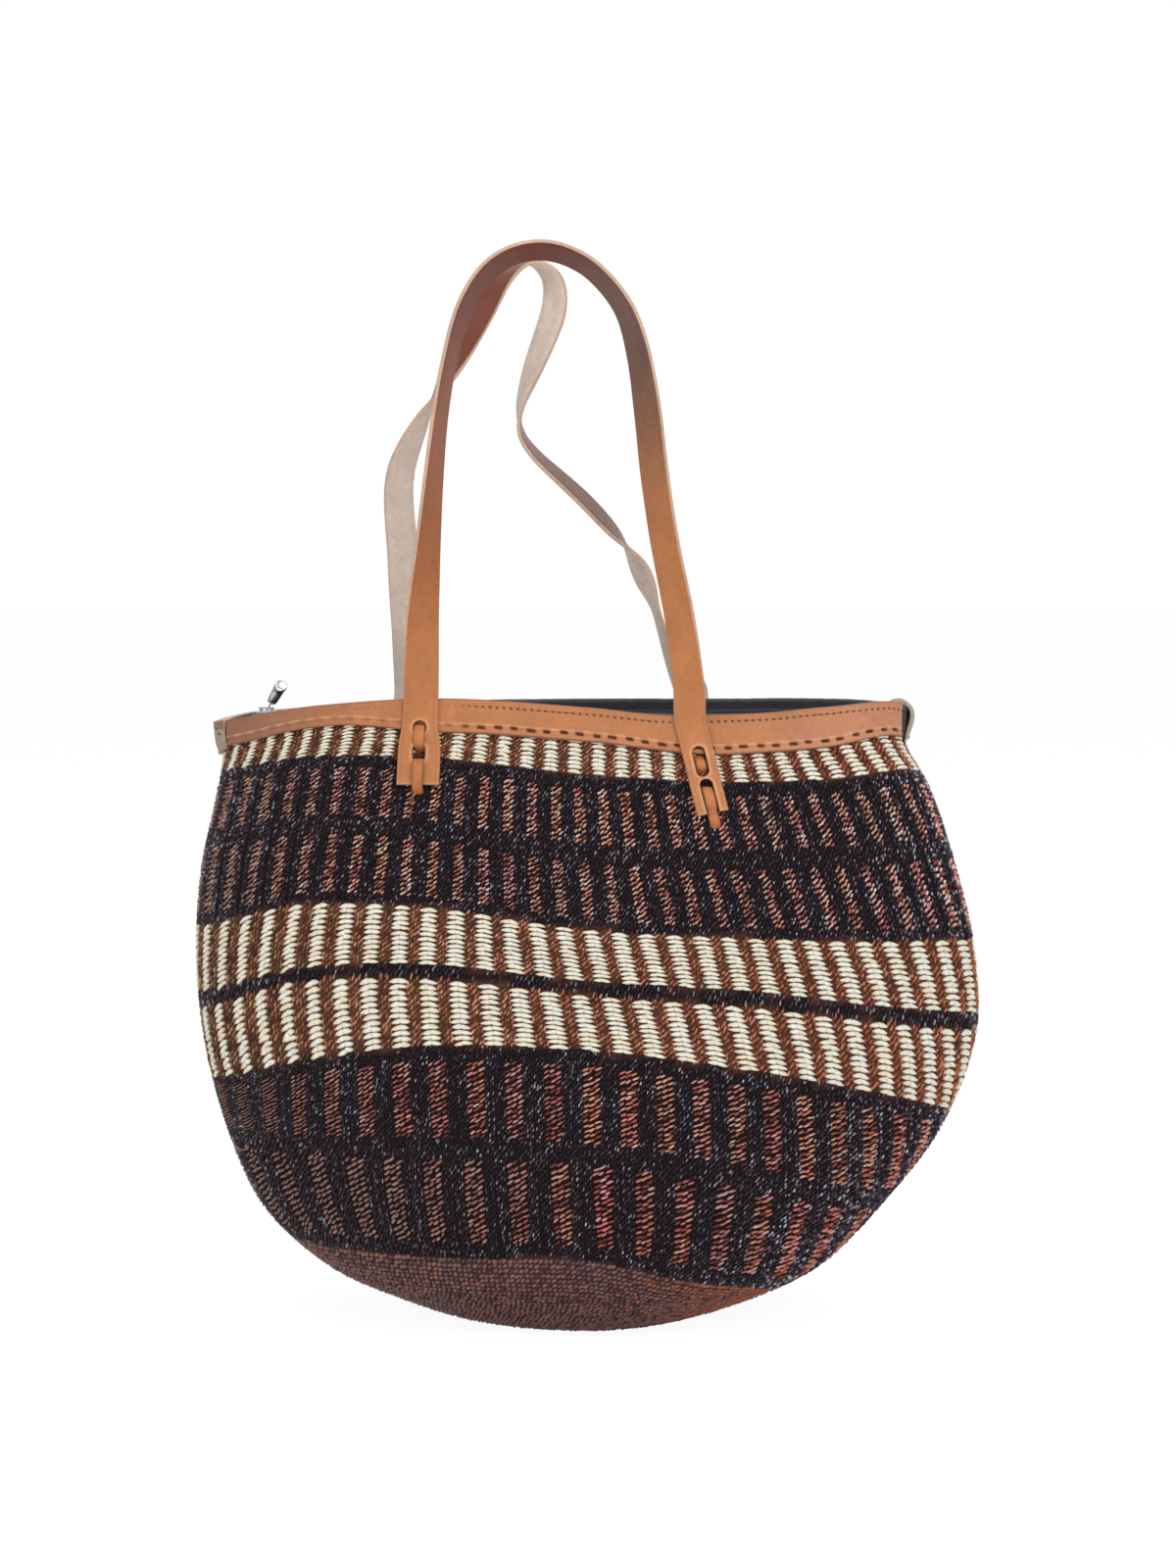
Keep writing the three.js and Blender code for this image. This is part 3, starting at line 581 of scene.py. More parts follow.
class Course:
    """One woven course: its length and what it needs to place a stitch along it."""

    def __init__(self, number):
        self.number = number
        below, points, above = (
            outer_point(RING_ANGLES, row_of_course(RING_ANGLES, number + step)) for step in (-0.5, 0, 0.5))
        self.arc = lengths_along(points)
        self.length = self.arc[-1]
        self.pitches = np.linalg.norm(above - below, axis=1)
        self.front_share = np.interp(3 * math.pi / 2, RING_ANGLES, self.arc) / self.length

    def angle(self, place):
        turns, rest = np.divmod(place, self.length)
        return np.interp(rest, self.arc, RING_ANGLES) + turns * 2 * math.pi

    def pitch(self, place):
        return np.interp(place % self.length, self.arc, self.pitches)


def lens(stations, widths, heights, across, crowns):
    """A lens-shaped stitch: places along (0 to 1), across (-1 to 1) and height, and its faces."""
    sides = len(across)
    along = np.concatenate([[0], np.repeat(stations, sides), [1]])
    side = np.concatenate([[0], np.outer(widths, across).ravel(), [0]])
    rise = np.concatenate([[0], np.outer(heights, crowns).ravel(), [0]])
    last = len(along) - 1
    tris = [(0, 1 + j, 2 + j) for j in range(sides - 1)]
    start = last - sides
    tris += [(last, start + j + 1, start + j) for j in range(sides - 1)]
    quads = []
    for i in range(len(stations) - 1):
        base = 1 + i * sides
        quads += [(base + j, base + sides + j, base + sides + j + 1, base + j + 1)
                  for j in range(sides - 1)]
    left = [1 + i * sides for i in range(len(stations))]
    right = [sides + i * sides for i in range(len(stations))]
    under = [0, *right, last, *left[::-1]]
    groups = [np.array(tris), np.array(quads), np.array([under])]
    return along, side, rise, groups


# A dash is a short wrap of thin yarn, a sliver a finer one, and a fin half a wrap of white
# yarn: round where it leaves the bar's middle, and pointed at the bar's side.
DASH = lens((0.2, 0.5, 0.8), (0.8, 1, 0.72), (0.75, 1, 0.7), (-1, 0, 1), (0, 1, 0))
SLIVER = lens((0.28, 0.74), (1, 0.9), (1, 0.85), (-1, 0, 1), (0, 1, 0))
FIN = lens(
    (0.03, 0.24, 0.56, 0.84), (0.86, 1, 0.86, 0.42), (0.72, 1, 0.98, 0.7),
    (-1, -0.62, 0, 0.62, 1), (0, 0.84, 1, 0.84, 0))
# Each stitch's tone factor at its foot, and its rise to the crest: painted shade on the flanks and a
# painted highlight along the crest.
DASH_SHADE = (0.5, 0.62)
FIN_SHADE = (0.72, 0.34)
SLIVER_SHADE = (0.66, 0.56)
BASE_SHADE = (0.8, 0.3)


class Stitches:
    """Stitches of one shape, gathered course by course."""

    def __init__(self, shape, shade):
        self.shape = shape
        self.shade = shade
        self.rows = []

    def add(self, course, place, lift, run, rise, width, peak, tone, tip_tan_and_shade=0.0):
        """place and run in mm along the course, lift and rise in courses, width in mm.

        The last argument is how far each stitch's far end turns tan: the yarn beside it at every fin, and
        painted shade on the bag's left side.
        """
        along, side, height, _ = self.shape
        count = len(place)
        pitch = course.pitch(place)
        length = np.hypot(run, rise * pitch)
        across_x = -rise * pitch / length
        across_y = run / length
        reach = side * width[:, None] / 2
        x = place[:, None] + along * run[:, None] + reach * across_x[:, None]
        y = lift[:, None] + along * rise[:, None] + reach * (across_y / pitch)[:, None]
        offsets = STITCH_FOOT + (peak[:, None] - STITCH_FOOT) * height
        # Painted shade towards the stitch's foot and a painted highlight along its crest.
        dark, light = self.shade
        shaded = tone[:, None] * (dark + light * height)[None, :, None]
        share = np.broadcast_to(tip_tan_and_shade, count)[:, None, None] * (along**1.5)[None, :, None]
        shaded = np.clip(towards(shaded, TIP_TAN_AND_SHADE, share), 0, 1)
        seeds = rng.uniform(0, 500, (count, 1)) + np.zeros(len(along))
        fibres = np.stack([along * length[:, None], side * width[:, None] / 2, seeds], -1)
        self.rows.append((course.angle(x), course.number + y, offsets, shaded, fibres))

    def mesh(self):
        """Faces, points, tones, fibres, and each point's place round and up the wall."""
        columns = (np.concatenate(column) for column in zip(*self.rows))
        angles, courses, offsets, tones, fibres = columns
        points = skin_point(angles, row_of_course(angles, courses), offsets)
        points[..., 2] = np.maximum(points[..., 2], LOWEST)
        starts = np.arange(len(points))[:, None, None] * points.shape[1]
        groups = [(group + starts).reshape(-1, group.shape[1]) for group in self.shape[3]]
        spread = np.stack([(angles - math.pi / 2) / (2 * math.pi), courses], -1)
        return groups, points, tones, fibres, spread


def weave_piece(name, *stitches):
    faces = {}
    layers = []
    first = 0
    for kind in stitches:
        groups, *made = kind.mesh()
        layers.append([values.reshape(-1, values.shape[-1]) for values in made])
        for group in groups:
            faces.setdefault(group.shape[1], []).append(group + first)
        first += len(layers[-1][0])
    points, tones, fibres, spread = (np.concatenate(column) for column in zip(*layers))
    low, high = spread.min(0), spread.max(0)
    made = piece(
        name, points, [np.concatenate(group) for group in faces.values()], yarn, tones,
        fibre=fibres, bake_map=(spread - low) / (high - low) * 0.98 + 0.01)
    belongs(made, "root", "sisal")


WHITE = srgb(255, 250, 234)
CREAM = srgb(255, 242, 216)
# Fins' far ends turn this tan, and more so as painted shade on the bag's left side.
TIP_TAN_AND_SHADE = srgb(186, 152, 122)
BROWN = srgb(180, 110, 82)
OLIVE = srgb(132, 92, 62)
# The next colour is a painted highlight on the brown dashes.
TAWNY = srgb(210, 142, 108)
SAND_HIGHLIGHT = srgb(236, 172, 140)
UMBER = srgb(106, 62, 44)
OLIVE_CAST = np.array([0.86, 1.0, 0.92])
RUST_CAST = np.array([1.0, 0.84, 0.78])
LOW_CAST = np.array([0.86, 0.7, 0.7])
FOOT_CAST = np.array([0.74, 0.58, 0.6])
COPPER = srgb(240, 168, 144)
# The next colour is a painted highlight on the copper dashes.
COPPER_HIGHLIGHT = srgb(255, 206, 190)
RUST = srgb(210, 128, 112)
COPPER_DARK = srgb(136, 80, 74)
BLACK = srgb(38, 31, 38)
SOOT = srgb(62, 50, 62)
VIOLET_GREY = srgb(98, 82, 98)
GLINT = srgb(160, 152, 168)
PALE_GLINT = srgb(206, 204, 214)
# A painted sheen for the dark dashes, and painted shade for the copper bars, on the bag's left side.
SHEEN_BROWN = srgb(74, 60, 58)
SHADE_COPPER = srgb(148, 118, 108)
DUSK = srgb(144, 98, 90)
DUSK_VIOLET = srgb(122, 92, 94)
DUSK_DARK = srgb(100, 68, 66)
DUSK_RUST = srgb(178, 102, 72)


def jitter(count, spread, middle=1.0):
    return middle + rng.normal(0, spread, count)


def mixed(count, choices, spread=0.1):
    """Colours drawn from (share, colour) pairs, each a little lighter or darker."""
    shares = np.array([share for share, _ in choices], float)
    colours = np.array([colour for _, colour in choices])
    drawn = colours[rng.choice(len(choices), count, p=shares / shares.sum())]
    return np.clip(drawn * jitter((count, 1), spread), 0, 1)


WHITE_FINS = [(6, WHITE), (2, CREAM)]
BROWN_DASHES = [(5, BROWN), (3, OLIVE), (3, TAWNY), (2, SAND_HIGHLIGHT), (2, UMBER)]
# GLINT and pale dashes are painted highlights, glints on the shiny yarn; glinty columns carry more of
# them.
BLACK_DASHES = [(42, BLACK), (28, SOOT), (18, VIOLET_GREY), (10, GLINT), (2, PALE_GLINT)]
GLINTY_DASHES = [(26, BLACK), (22, SOOT), (24, VIOLET_GREY), (20, GLINT), (8, PALE_GLINT)]
COPPER_DASHES = [(6, COPPER), (5, COPPER_HIGHLIGHT), (4, COPPER_DARK), (4, RUST)]
BASE_DASHES = [(6, DUSK), (4, DUSK_VIOLET), (3, DUSK_DARK)]
GLINTY_SHARE = 0.3


def from_front(values):
    """Values at 16 steps of angle, from 9 along the front, left end to right end."""
    behind = np.linspace(values[-1], values[0], 9)[:-1]
    return np.concatenate([behind, values[:-1]])


class Bars:
    """How many bars a band of courses has, and where they stand.

    phase is in bars. swing is how far, in mm, the bars stand to the right of an even spacing,
    and lean how far they move to the right in ten courses downwards, both along the front.
    """

    def __init__(self, count, phase, middle, swing, lean):
        self.count = count
        self.phase = phase
        self.middle = middle
        self.swing = from_front(swing)
        self.lean = from_front(lean)

    def places(self, course):
        """Where the bars' middles lie along a course."""
        share = (np.arange(self.count) + self.phase) / self.count
        place = (share + course.front_share - FRONT_SHARE) * course.length
        angle = course.angle(place)
        down = (self.middle - course.number) / 10
        return place + around(self.swing, angle) + down * around(self.lean, angle)


FRONT_SHARE = Course(106).front_share
RIM_BARS = Bars(66, 0, 143, (6, 5.5, 0.6, -1.4, -0.4, 0.5, 0, 1, 1), (0, 0, 0, 0, 0, 0, 7, 9, 8))
HIGH_BARS = Bars(
    68, 0.183, 128, (-9, -7, -2.8, 0, 0.7, -0.5, 3.6, 10, 12), (0, 2, 3, 1.3, 1.4, 2.5, 4.5, 5, 3))
MID_BARS = Bars(68, 0.483, 114, (-11, -9, -2, 0, 0, 1.3, 6.8, 14.8, 17), (0, 2, 2, 2, 2.6, 5, 5.5, 5, 3))
UPPER_CREAM_BARS = Bars(
    65, 0.3, 100, (-4, -3, -1.7, 0, 0.7, 0, 4.2, 10, 11), (0, 0, -0.8, 0.8, 5, 5.2, 9.2, 6.2, 3.3))
LOWER_CREAM_BARS = Bars(
    61, -0.1, 86, (-4, -3.7, -3.9, -3.3, 0.4, 4.3, 8.5, 8.2, 7),
    (0, 0, 0, 0.4, 5, 9.6, 10.8, 12.5, 8.3))
LOW_BARS = Bars(
    46, 0.455, 68.4, (0, 0, -1.5, -1.5, 0.3, 0, 1.5, 5, 5),
    (-2.2, -4.4, -5.5, -1.9, 0.4, 4.8, 9.5, 10.3, 5.9))
FOOT_BARS = Bars(
    37, 0.18, 51, (0, 0, 0, -2.6, 0, 0, 1, 4, 4), (-2.9, -4.8, -5.8, -4.8, 1.5, 4.8, 5.8, 5.8, 3.9))


def dashes(stitches, course, place, lift, run, rise, width, tone, peak=STITCH_PEAK):
    count = len(place)
    stitches.add(
        course,
        place + rng.normal(0, PLACE_SPREAD, count),
        lift + rng.normal(0, 0.07, count),
        run * jitter(count, 0.14),
        rise * jitter(count, 0.14),
        width * jitter(count, 0.12),
        STITCH_FOOT + (peak - STITCH_FOOT) * jitter(count, 0.09, 0.94),
        tone,
    )


def sideways(course, place):
    """How far to the right of the bag's middle each place stands."""
    angle = course.angle(place)
    return outer_point(angle, row_of_course(angle, course.number))[:, 0]


def cream_course(fins, thin, course, bars, white_share):
    """White bars of two fins a course, with short brown dashes between them."""
    centre = bars.places(course)
    spacing = np.roll(centre, -1) - centre
    spacing[-1] += course.length
    x = sideways(course, centre)
    # Towards the bag's left side the white bars narrow, and the same factor darkens the brown dashes as
    # painted shade.
    narrow_and_shade = 0.72 + 0.28 * smoothstep(x, -196, -90)
    half = white_share * narrow_and_shade * spacing / 2
    half_before = np.roll(half, 1)
    count = len(centre)
    pitch = course.pitch(centre)
    slant = 0.5 * (1 - smoothstep(x, -190, -60))
    for side, reach in ((-1, half_before), (1, half)):
        # Each fin's far end turns tan; on the bag's left side more so, most on the left fins, as painted
        # shade.
        end_tan_and_shade = 0.15 + (1.1 * slant if side < 0 else 0.3 * slant)
        fins.add(
            course,
            centre - side * FIN_OVERLAP / 2 + rng.normal(0, PLACE_SPREAD, count),
            0.12 + rng.normal(0, 0.05, count),
            side * (reach + 1.0) * jitter(count, 0.07),
            (side * slant - 0.34) * jitter(count, 0.2),
            pitch * 1.02 * jitter(count, 0.06),
            STITCH_FOOT + (FIN_PEAK - STITCH_FOOT) * jitter(count, 0.05, 0.97),
            mixed(count, WHITE_FINS, 0.02),
            end_tan_and_shade,
        )
    gap = spacing - 2 * half + 0.6
    olive = (1 - smoothstep(x, -170, -20))[:, None]
    rusty = smoothstep(x, -20, 130)[:, None]
    for k in range(BROWN_COLUMNS):
        place = centre + half - 0.3 + gap * (k + 0.5) / BROWN_COLUMNS - BROWN_RUN / 2
        # Painted shade on the brown dashes towards the bag's left side.
        tone = mixed(count, BROWN_DASHES, 0.18) * narrow_and_shade[:, None]
        tone = tone * (1 + olive * (OLIVE_CAST - 1)) * (1 + rusty * (RUST_CAST - 1))
        lift = -0.6 + 0.5 * (k % 2)
        width = gap / BROWN_COLUMNS * 0.95
        dashes(thin, course, place, lift, BROWN_RUN, 1.15, width, tone, STITCH_PEAK - 0.1)


def dark_course(thin, course, bars, per_bar, share, glinty, hues, painted_light_span):
    """Steep dark dashes, and slanting copper ones over a share of each bar's spacing."""
    centre = bars.places(course)
    period = course.length / bars.count
    across = (np.arange(per_bar) + 0.5) / per_bar - 0.5
    dark = np.abs(across) > share / 2
    place = (centre[:, None] + across[dark] * period).ravel()
    glint = glinty[:, dark].reshape(-1, 1)
    count = len(place)
    # Glinty columns take more painted highlights.
    tone = np.where(glint, mixed(count, GLINTY_DASHES, 0.2), mixed(count, BLACK_DASHES, 0.2))
    # A painted grazing sheen on the dark dashes towards the bag's left side.
    painted_light = DARK_SHEEN * (1 - smoothstep(sideways(course, place), *painted_light_span))[:, None]
    tone = towards(tone, SHEEN_BROWN, painted_light)
    step = np.tile(0.5 * (np.arange(dark.sum()) % 2), bars.count)
    lift = -0.5 + step + rng.normal(0, 0.12, count)
    width = 0.7 * period / per_bar
    dashes(thin, course, place - DARK_RUN / 2, lift, DARK_RUN, 0.86, width, tone, STITCH_PEAK - 0.2)
    pitch = course.pitch(centre)
    shift = rng.normal(0, 0.16, bars.count)
    for k in range(COPPER_COLUMNS if share else 0):
        place = centre + shift + ((k + 0.5) / COPPER_COLUMNS - 0.5) * share * period
        run = share * period / COPPER_COLUMNS * 1.3
        tone = mixed(bars.count, COPPER_DASHES, 0.16) * hues
        # Painted shade on the copper dashes towards the bag's left side.
        painted_light = COPPER_LEFT_SHADE * (1 - smoothstep(sideways(course, place), *painted_light_span))[:, None]
        tone = towards(tone, SHADE_COPPER * jitter((bars.count, 1), 0.15), painted_light)
        lift = -0.4 + 0.3 * (k % 2)
        dashes(thin, course, place - run / 2, lift, run, 0.9, pitch * 0.54, tone)


def dark_band(name, courses, bars, per_bar, rows, share, painted_light_span, cast=(1, 1, 1)):
    """A band of dark weave, with copper bars in its courses between two rows."""
    thin = Stitches(SLIVER, SLIVER_SHADE)
    glinty = (rng.random(bars.count * per_bar) < GLINTY_SHARE).reshape(bars.count, per_bar)
    hues = np.clip(jitter((bars.count, 3), 0.05), 0.85, 1.15) * jitter((bars.count, 1), 0.1) * cast
    for i in range(*courses):
        course = Course(i + 0.5)
        crossed = rows[0] <= course.number < rows[1]
        dark_course(thin, course, bars, per_bar, share if crossed else 0, glinty, hues, painted_light_span)
    weave_piece(name, thin)


def cream_band(name, courses, bars, white_share):
    fins = Stitches(FIN, FIN_SHADE)
    thin = Stitches(DASH, DASH_SHADE)
    for i in range(*courses):
        cream_course(fins, thin, Course(i + 0.5), bars, white_share)
    weave_piece(name, fins, thin)


def base_course(thin, course):
    count = max(8, round(course.length / BASE_SPACING))
    spacing = course.length / count
    place = (np.arange(count) + 0.5 * (course.number % 2)) * spacing
    rusty = rng.random(count) < 0.8 * smoothstep(sideways(course, place), 0, 110)
    tone = np.where(rusty[:, None], DUSK_RUST, mixed(count, BASE_DASHES, 0.1))
    tone = tone * jitter((count, 1), 0.06)
    width = course.pitch(place) * 0.85
    dashes(thin, course, place, -0.4, spacing * 1.25, 0.8, width, tone)


def weave_wall():
    cream_band("weave_rim", (138, 148), RIM_BARS, RIM_WHITE)
    dark_band("weave_upper_high", (122, 138), HIGH_BARS, 12, HIGH_COPPER, 0.42, HIGH_PAINTED_LIGHT)
    dark_band("weave_upper_low", (106, 122), MID_BARS, 12, MID_COPPER, 0.42, HIGH_PAINTED_LIGHT)
    cream_band("weave_cream_low", (80, 92), LOWER_CREAM_BARS, CREAM_WHITE)
    cream_band("weave_cream_high", (94, 106), UPPER_CREAM_BARS, CREAM_WHITE)
    dark_band("weave_line", (92, 94), UPPER_CREAM_BARS, 12, NO_COPPER, 0, HIGH_PAINTED_LIGHT)
    dark_band("weave_lower_high", (60, 80), LOW_BARS, 15, LOW_COPPER, 0.46, LOW_PAINTED_LIGHT, LOW_CAST)
    dark_band("weave_lower_low", (40, 60), FOOT_BARS, 16, FOOT_COPPER, 0.44, FOOT_PAINTED_LIGHT, FOOT_CAST)
    thin = Stitches(SLIVER, BASE_SHADE)
    for i in range(40):
        base_course(thin, Course(i + 0.5))
    weave_piece("weave_base", thin)


# The core shows between the stitches: its near-black is painted shade there, and CORE_SHADE darkens its
# colours as painted shade.
CORE_SHADOW = srgb(30, 23, 25)
CORE_DUSK = srgb(88, 60, 58)
CORE_SHADE = 0.8
CORE_BANDS = [(0, 40, CORE_DUSK), (80, 92, UMBER), (94, 106, UMBER), (138, 153, UMBER)]


def wall_core():
    """The closed wall under the stitches, painted near black as the shade between them and brown behind
    the cream bands.
    """
    angles = full_turn(240)
    rows = np.concatenate([np.linspace(-0.98, 0, 12), np.linspace(0.1, row_at(WALL_TOP), 110)])
    outer = skin_point(angles, rows[:, None], SKIN_LEVEL)
    inner = skin_point(angles, rows[::-1, None], -WALL_THICKNESS)
    sections = np.concatenate([outer, inner])
    sections[:, :, 2] = np.maximum(sections[:, :, 2], 2 * LOWEST)
    tone = np.broadcast_to(CORE_SHADOW, sections.shape).copy()
    for low, high, colour in CORE_BANDS:
        foot, head = (row_of_course(angles, course) for course in (low, high))
        inside = (rows[:, None] > foot) & (rows[:, None] < head)
        tone[: len(rows)][inside] = colour * CORE_SHADE
    made = tube("wall_core", sections, wall_fibre, tone)
    belongs(made, "root", "sisal", "basket_body")


# Rim band: strips along the rim, as profiles of (offset outwards, distance down)

SEAT = 0.4
BAND_THICKNESS = 2
BAND_OUTER = SEAT + BAND_THICKNESS
BAND_HEIGHT = 17
BAND_MIDDLE = 8
BAND_STEP = 0.55
BAND_LOW_HEIGHT = 10.9
BAND_LOW_ANGLES = (-133, -112)
TOP_SEAM_DOWN = 3.5
LOWER_SEAM_UP = 3.4
HOLE_PITCH = 3.45
HOLE_HALF_LENGTH = 0.95
HOLE_HALF_HEIGHT = 0.62
HOLE_DEPTH = 0.62
SLOT_DEPTH = 0.7
LIP_HEIGHT = 0.22
GROOVE_DEPTH = 0.16
CROWN_HEIGHT = 0.14
SLOT_PITCH = 8.2
SLOT_LENGTH = 4.2
FRONT_BAND_END = 13.5
REAR_BAND_END = 15
TAPE_CLEARANCE = 1.15
LEFT_WRAP = 192.6
RIGHT_WRAP = 4
CURL_DEPTH = 15
CURL_PATH = [
    (154.2, 316.4), (156.9, 317.6), (160, 317.8), (162.9, 316.1), (164.3, 312.6), (163.8, 308.4),
    (162.6, 304.4), (161.5, 301), (160.8, 299),
]


def rim_point(angle, down, offset):
    return skin_point(angle, row_at(MOUTH_HEIGHT - down), offset)


def even_angles(from_degrees, to_degrees, step):
    """Angles between two limits at equal steps of length along the rim."""
    angles = np.radians(np.linspace(from_degrees, to_degrees, 1500))
    points = rim_point(angles, BAND_HEIGHT / 2, BAND_OUTER)
    arc = lengths_along(points)
    count = int(arc[-1] / step) + 1
    wanted = np.linspace(0, arc[-1], count)
    return np.interp(wanted, arc, angles), wanted


def front_height(angles):
    """The front band is lower towards the bag's left side."""
    rise = smoothstep(np.degrees(angles), *BAND_LOW_ANGLES)
    x = rim_point(angles, BAND_MIDDLE, 0)[..., 0]
    corner = 2.2 * bell(x, -178, 22)
    right = 2.4 * bell(x, 116, 26)
    return BAND_LOW_HEIGHT + (BAND_HEIGHT - BAND_LOW_HEIGHT) * rise + corner + right


def front_rise(angles):
    """How far the front band stands above the mouth, most of all beside the right strap."""
    x = rim_point(angles, BAND_MIDDLE, 0)[..., 0]
    return 2.9 * bell(x, 68, 28) + 0.9 * bell(x, 112, 24)


def rear_height(angles):
    """The rear band's left end is cut aslant where it comes round to the front."""
    return BAND_HEIGHT - 2.5 * smoothstep(np.degrees(angles), 183, LEFT_WRAP)


def rear_rise(angles):
    """The rear band lies a little below the mouth's bound edge, except towards the left."""
    degrees = np.degrees(angles)
    return -1.1 * smoothstep(degrees, 12, 30) * (1 - smoothstep(degrees, 125, 150))


def rear_lift(angles, share):
    """How far the rear band's ends stand off: over the tapes, and flared at the left corner."""
    degrees = np.degrees(angles)
    left = smoothstep(degrees, 164, 171)
    right = 1 - smoothstep(degrees, 8, 15)
    flare = bell(degrees, 183, 6) * (1 - share) ** 1.3
    low = 1 - smoothstep(share, 0.6, 0.95)
    return TAPE_CLEARANCE * (left * low + right) + 0.7 * flare


def rear_fold(angles):
    """Where the left corner's fold runs, as a share of the band's height."""
    return 0.3 * (np.degrees(angles) - 180) / (LEFT_WRAP - 180)


def rear_flesh(angles, share):
    """Where the rear band shows its flesh side: below the left corner's fold, and at the right."""
    degrees = np.degrees(angles)
    turned = smoothstep(degrees, 174, 180) * smoothstep(share - rear_fold(angles), 0, 0.06)
    return turned + (1 - smoothstep(degrees, 7, 11))


def rear_slit_shade(angles, share):
    """Two slits under the left corner's fold, painted dark as the shade inside them."""
    degrees = np.degrees(angles)
    below = share - rear_fold(angles)
    first = bell(below, 0.05, 0.03) * bell(degrees, 186.5, 2.4, 4)
    second = bell(below, 0.2, 0.03) * bell(degrees, 189.5, 2, 4)
    return first + second


def nowhere(angles, share):
    return 0 * angles * share


def band_outline():
    """The band's cross-section as (offset, share of the height, down from the top or the foot)."""
    r = 0.6
    round_top = np.radians([0, 30, 60])
    round_foot = np.radians([0, 30, 60, 90])
    top = [(BAND_OUTER - r + r * math.sin(t), 0, r - r * math.cos(t)) for t in round_top]
    face = [(BAND_OUTER, share, r - 2 * r * share) for share in np.linspace(0, 1, 36)[:-1]]
    foot = [(BAND_OUTER - r + r * math.cos(t), 1, r * math.sin(t) - r) for t in round_foot]
    back = [(SEAT, share, 0) for share in (1, 0.75, 0.5, 0.25, 0)]
    grain = [True] * (len(top) + len(face) + len(foot)) + [False] * len(back)
    return np.array(top + face + foot + back), np.array(grain)


def band_relief(arc, down, height, worn, sewn):
    """Height above the band's face, and how much each point is hole or raised lip.

    worn is how far the two rows of sewing have faded, and sewn where there is any.
    """
    lower_seam = height - LOWER_SEAM_UP
    from_hole = (arc % HOLE_PITCH) - HOLE_PITCH / 2
    hole = np.hypot(from_hole / HOLE_HALF_LENGTH, (down - TOP_SEAM_DOWN) / HOLE_HALF_HEIGHT)
    hole = (1 - smoothstep(hole, 0.5, 1.1)) * (1 - worn) * sewn
    turn = np.floor(arc / SLOT_PITCH)
    length = SLOT_LENGTH + 0.5 * np.sin(turn * 2.4)
    drop = 0.3 * np.sin(turn * 1.7)
    along = (arc % SLOT_PITCH) - SLOT_PITCH / 2 - 0.3 * np.sin(turn * 3.1)
    from_slot = np.abs(along)
    from_seam = np.abs(down - lower_seam - drop - 0.05 * along)
    slot = 1 - smoothstep(from_slot, length / 2 - 0.6, length / 2 + 0.3)
    slot = slot * (1 - smoothstep(from_seam, 0.5, 1.05)) * (1 - 0.85 * worn) * sewn
    above = bell(down - lower_seam, -1.15, 0.5)
    between = smoothstep(from_slot, SLOT_LENGTH / 2 - 1.2, SLOT_LENGTH / 2 + 0.8)
    lip = above * (0.35 + 0.65 * between) * sewn
    groove = GROOVE_DEPTH * bell(down, lower_seam, 0.7) * sewn
    share = np.clip((down - TOP_SEAM_DOWN) / (lower_seam - TOP_SEAM_DOWN), 0, 1)
    relief = CROWN_HEIGHT * np.sin(share * math.pi) + LIP_HEIGHT * lip - groove
    relief = relief - HOLE_DEPTH * hole - SLOT_DEPTH * slot
    return relief, np.maximum(hole, slot), lip


def faded(x):
    """How far the seams have worn away, from the middle towards the bag's left side."""
    return 1 - smoothstep(x, -78, -48)


# The band darkens towards the bag's left side as painted shade and lightens towards the right as a painted
# highlight.
def band_colour(x):
    left = (1 - smoothstep(x, -172, -95))[..., None]
    right = smoothstep(x, 60, 150)[..., None]
    return LEATHER_TAN * (1 - left - right) + LEATHER_LEFT_SHADE * left + LEATHER_RIGHT_HIGHLIGHT * right


def rim_strip(name, angles, arc, form, sewn, node):
    """A length of band.

    form gives its height, rise and lift, where it is turned inside out and where its slits are painted as
    shade.
    sewn says at each angle how far it is sewn.
    """
    outline, grain = band_outline()
    height_at, rise_at, lift_at, flesh_at, slit_shade_at = form
    rise = rise_at(angles)[:, None]
    height = height_at(angles)[:, None] + rise
    downs = outline[:, 1] * height + outline[:, 2]
    arc = arc[:, None]
    x = rim_point(angles, BAND_MIDDLE, BAND_OUTER)[:, 0]
    relief, hollow_shade, lip = band_relief(arc, downs, height, faded(x)[:, None], sewn[:, None])
    shown = grain & (downs > 1) & (downs < height - 0.3)
    offsets = outline[:, 0] + np.where(shown, relief, 0)
    wave = 0.18 * np.sin(arc / 17) * np.sin(downs / BAND_HEIGHT * math.pi) + 0.1 * np.sin(arc / 7.3)
    offsets = offsets + np.where(grain, wave, 0) + lift_at(angles[:, None], downs / height)
    below = downs - rise
    sections = rim_point(angles[:, None], np.maximum(below, 0), offsets)
    sections[..., 2] += np.maximum(-below, 0)
    tone = band_colour(x)[:, None]
    edge = np.maximum(smoothstep(downs, height - 1.1, height - 0.1), 1 - smoothstep(downs, 0, 0.9))
    # Cut edges take a darker colour, raised lips a painted highlight, and holes and slots painted shade.
    for share, colour in ((edge * 0.8, LEATHER_CUT), (lip * 0.55, LIP_HIGHLIGHT), (hollow_shade, HOLE_SHADE)):
        share = np.where(grain, share, 0)[..., None]
        tone = towards(tone, colour, share)
    turned = flesh_at(angles[:, None], downs / height)
    slit_shade = slit_shade_at(angles[:, None], downs / height)[..., None]
    nap = np.where(grain, turned, 1.0)
    tone = np.where(grain[:, None], tone, FLESH_SIDE)
    tone = towards(tone, FLESH_SHADED, turned[..., None])
    # The slits are painted dark as shade.
    tone = towards(tone, HOLE_SHADE, slit_shade)
    made = tube(name, sections, leather, tone, nap=nap)
    belongs(made, "root", "leather", node)


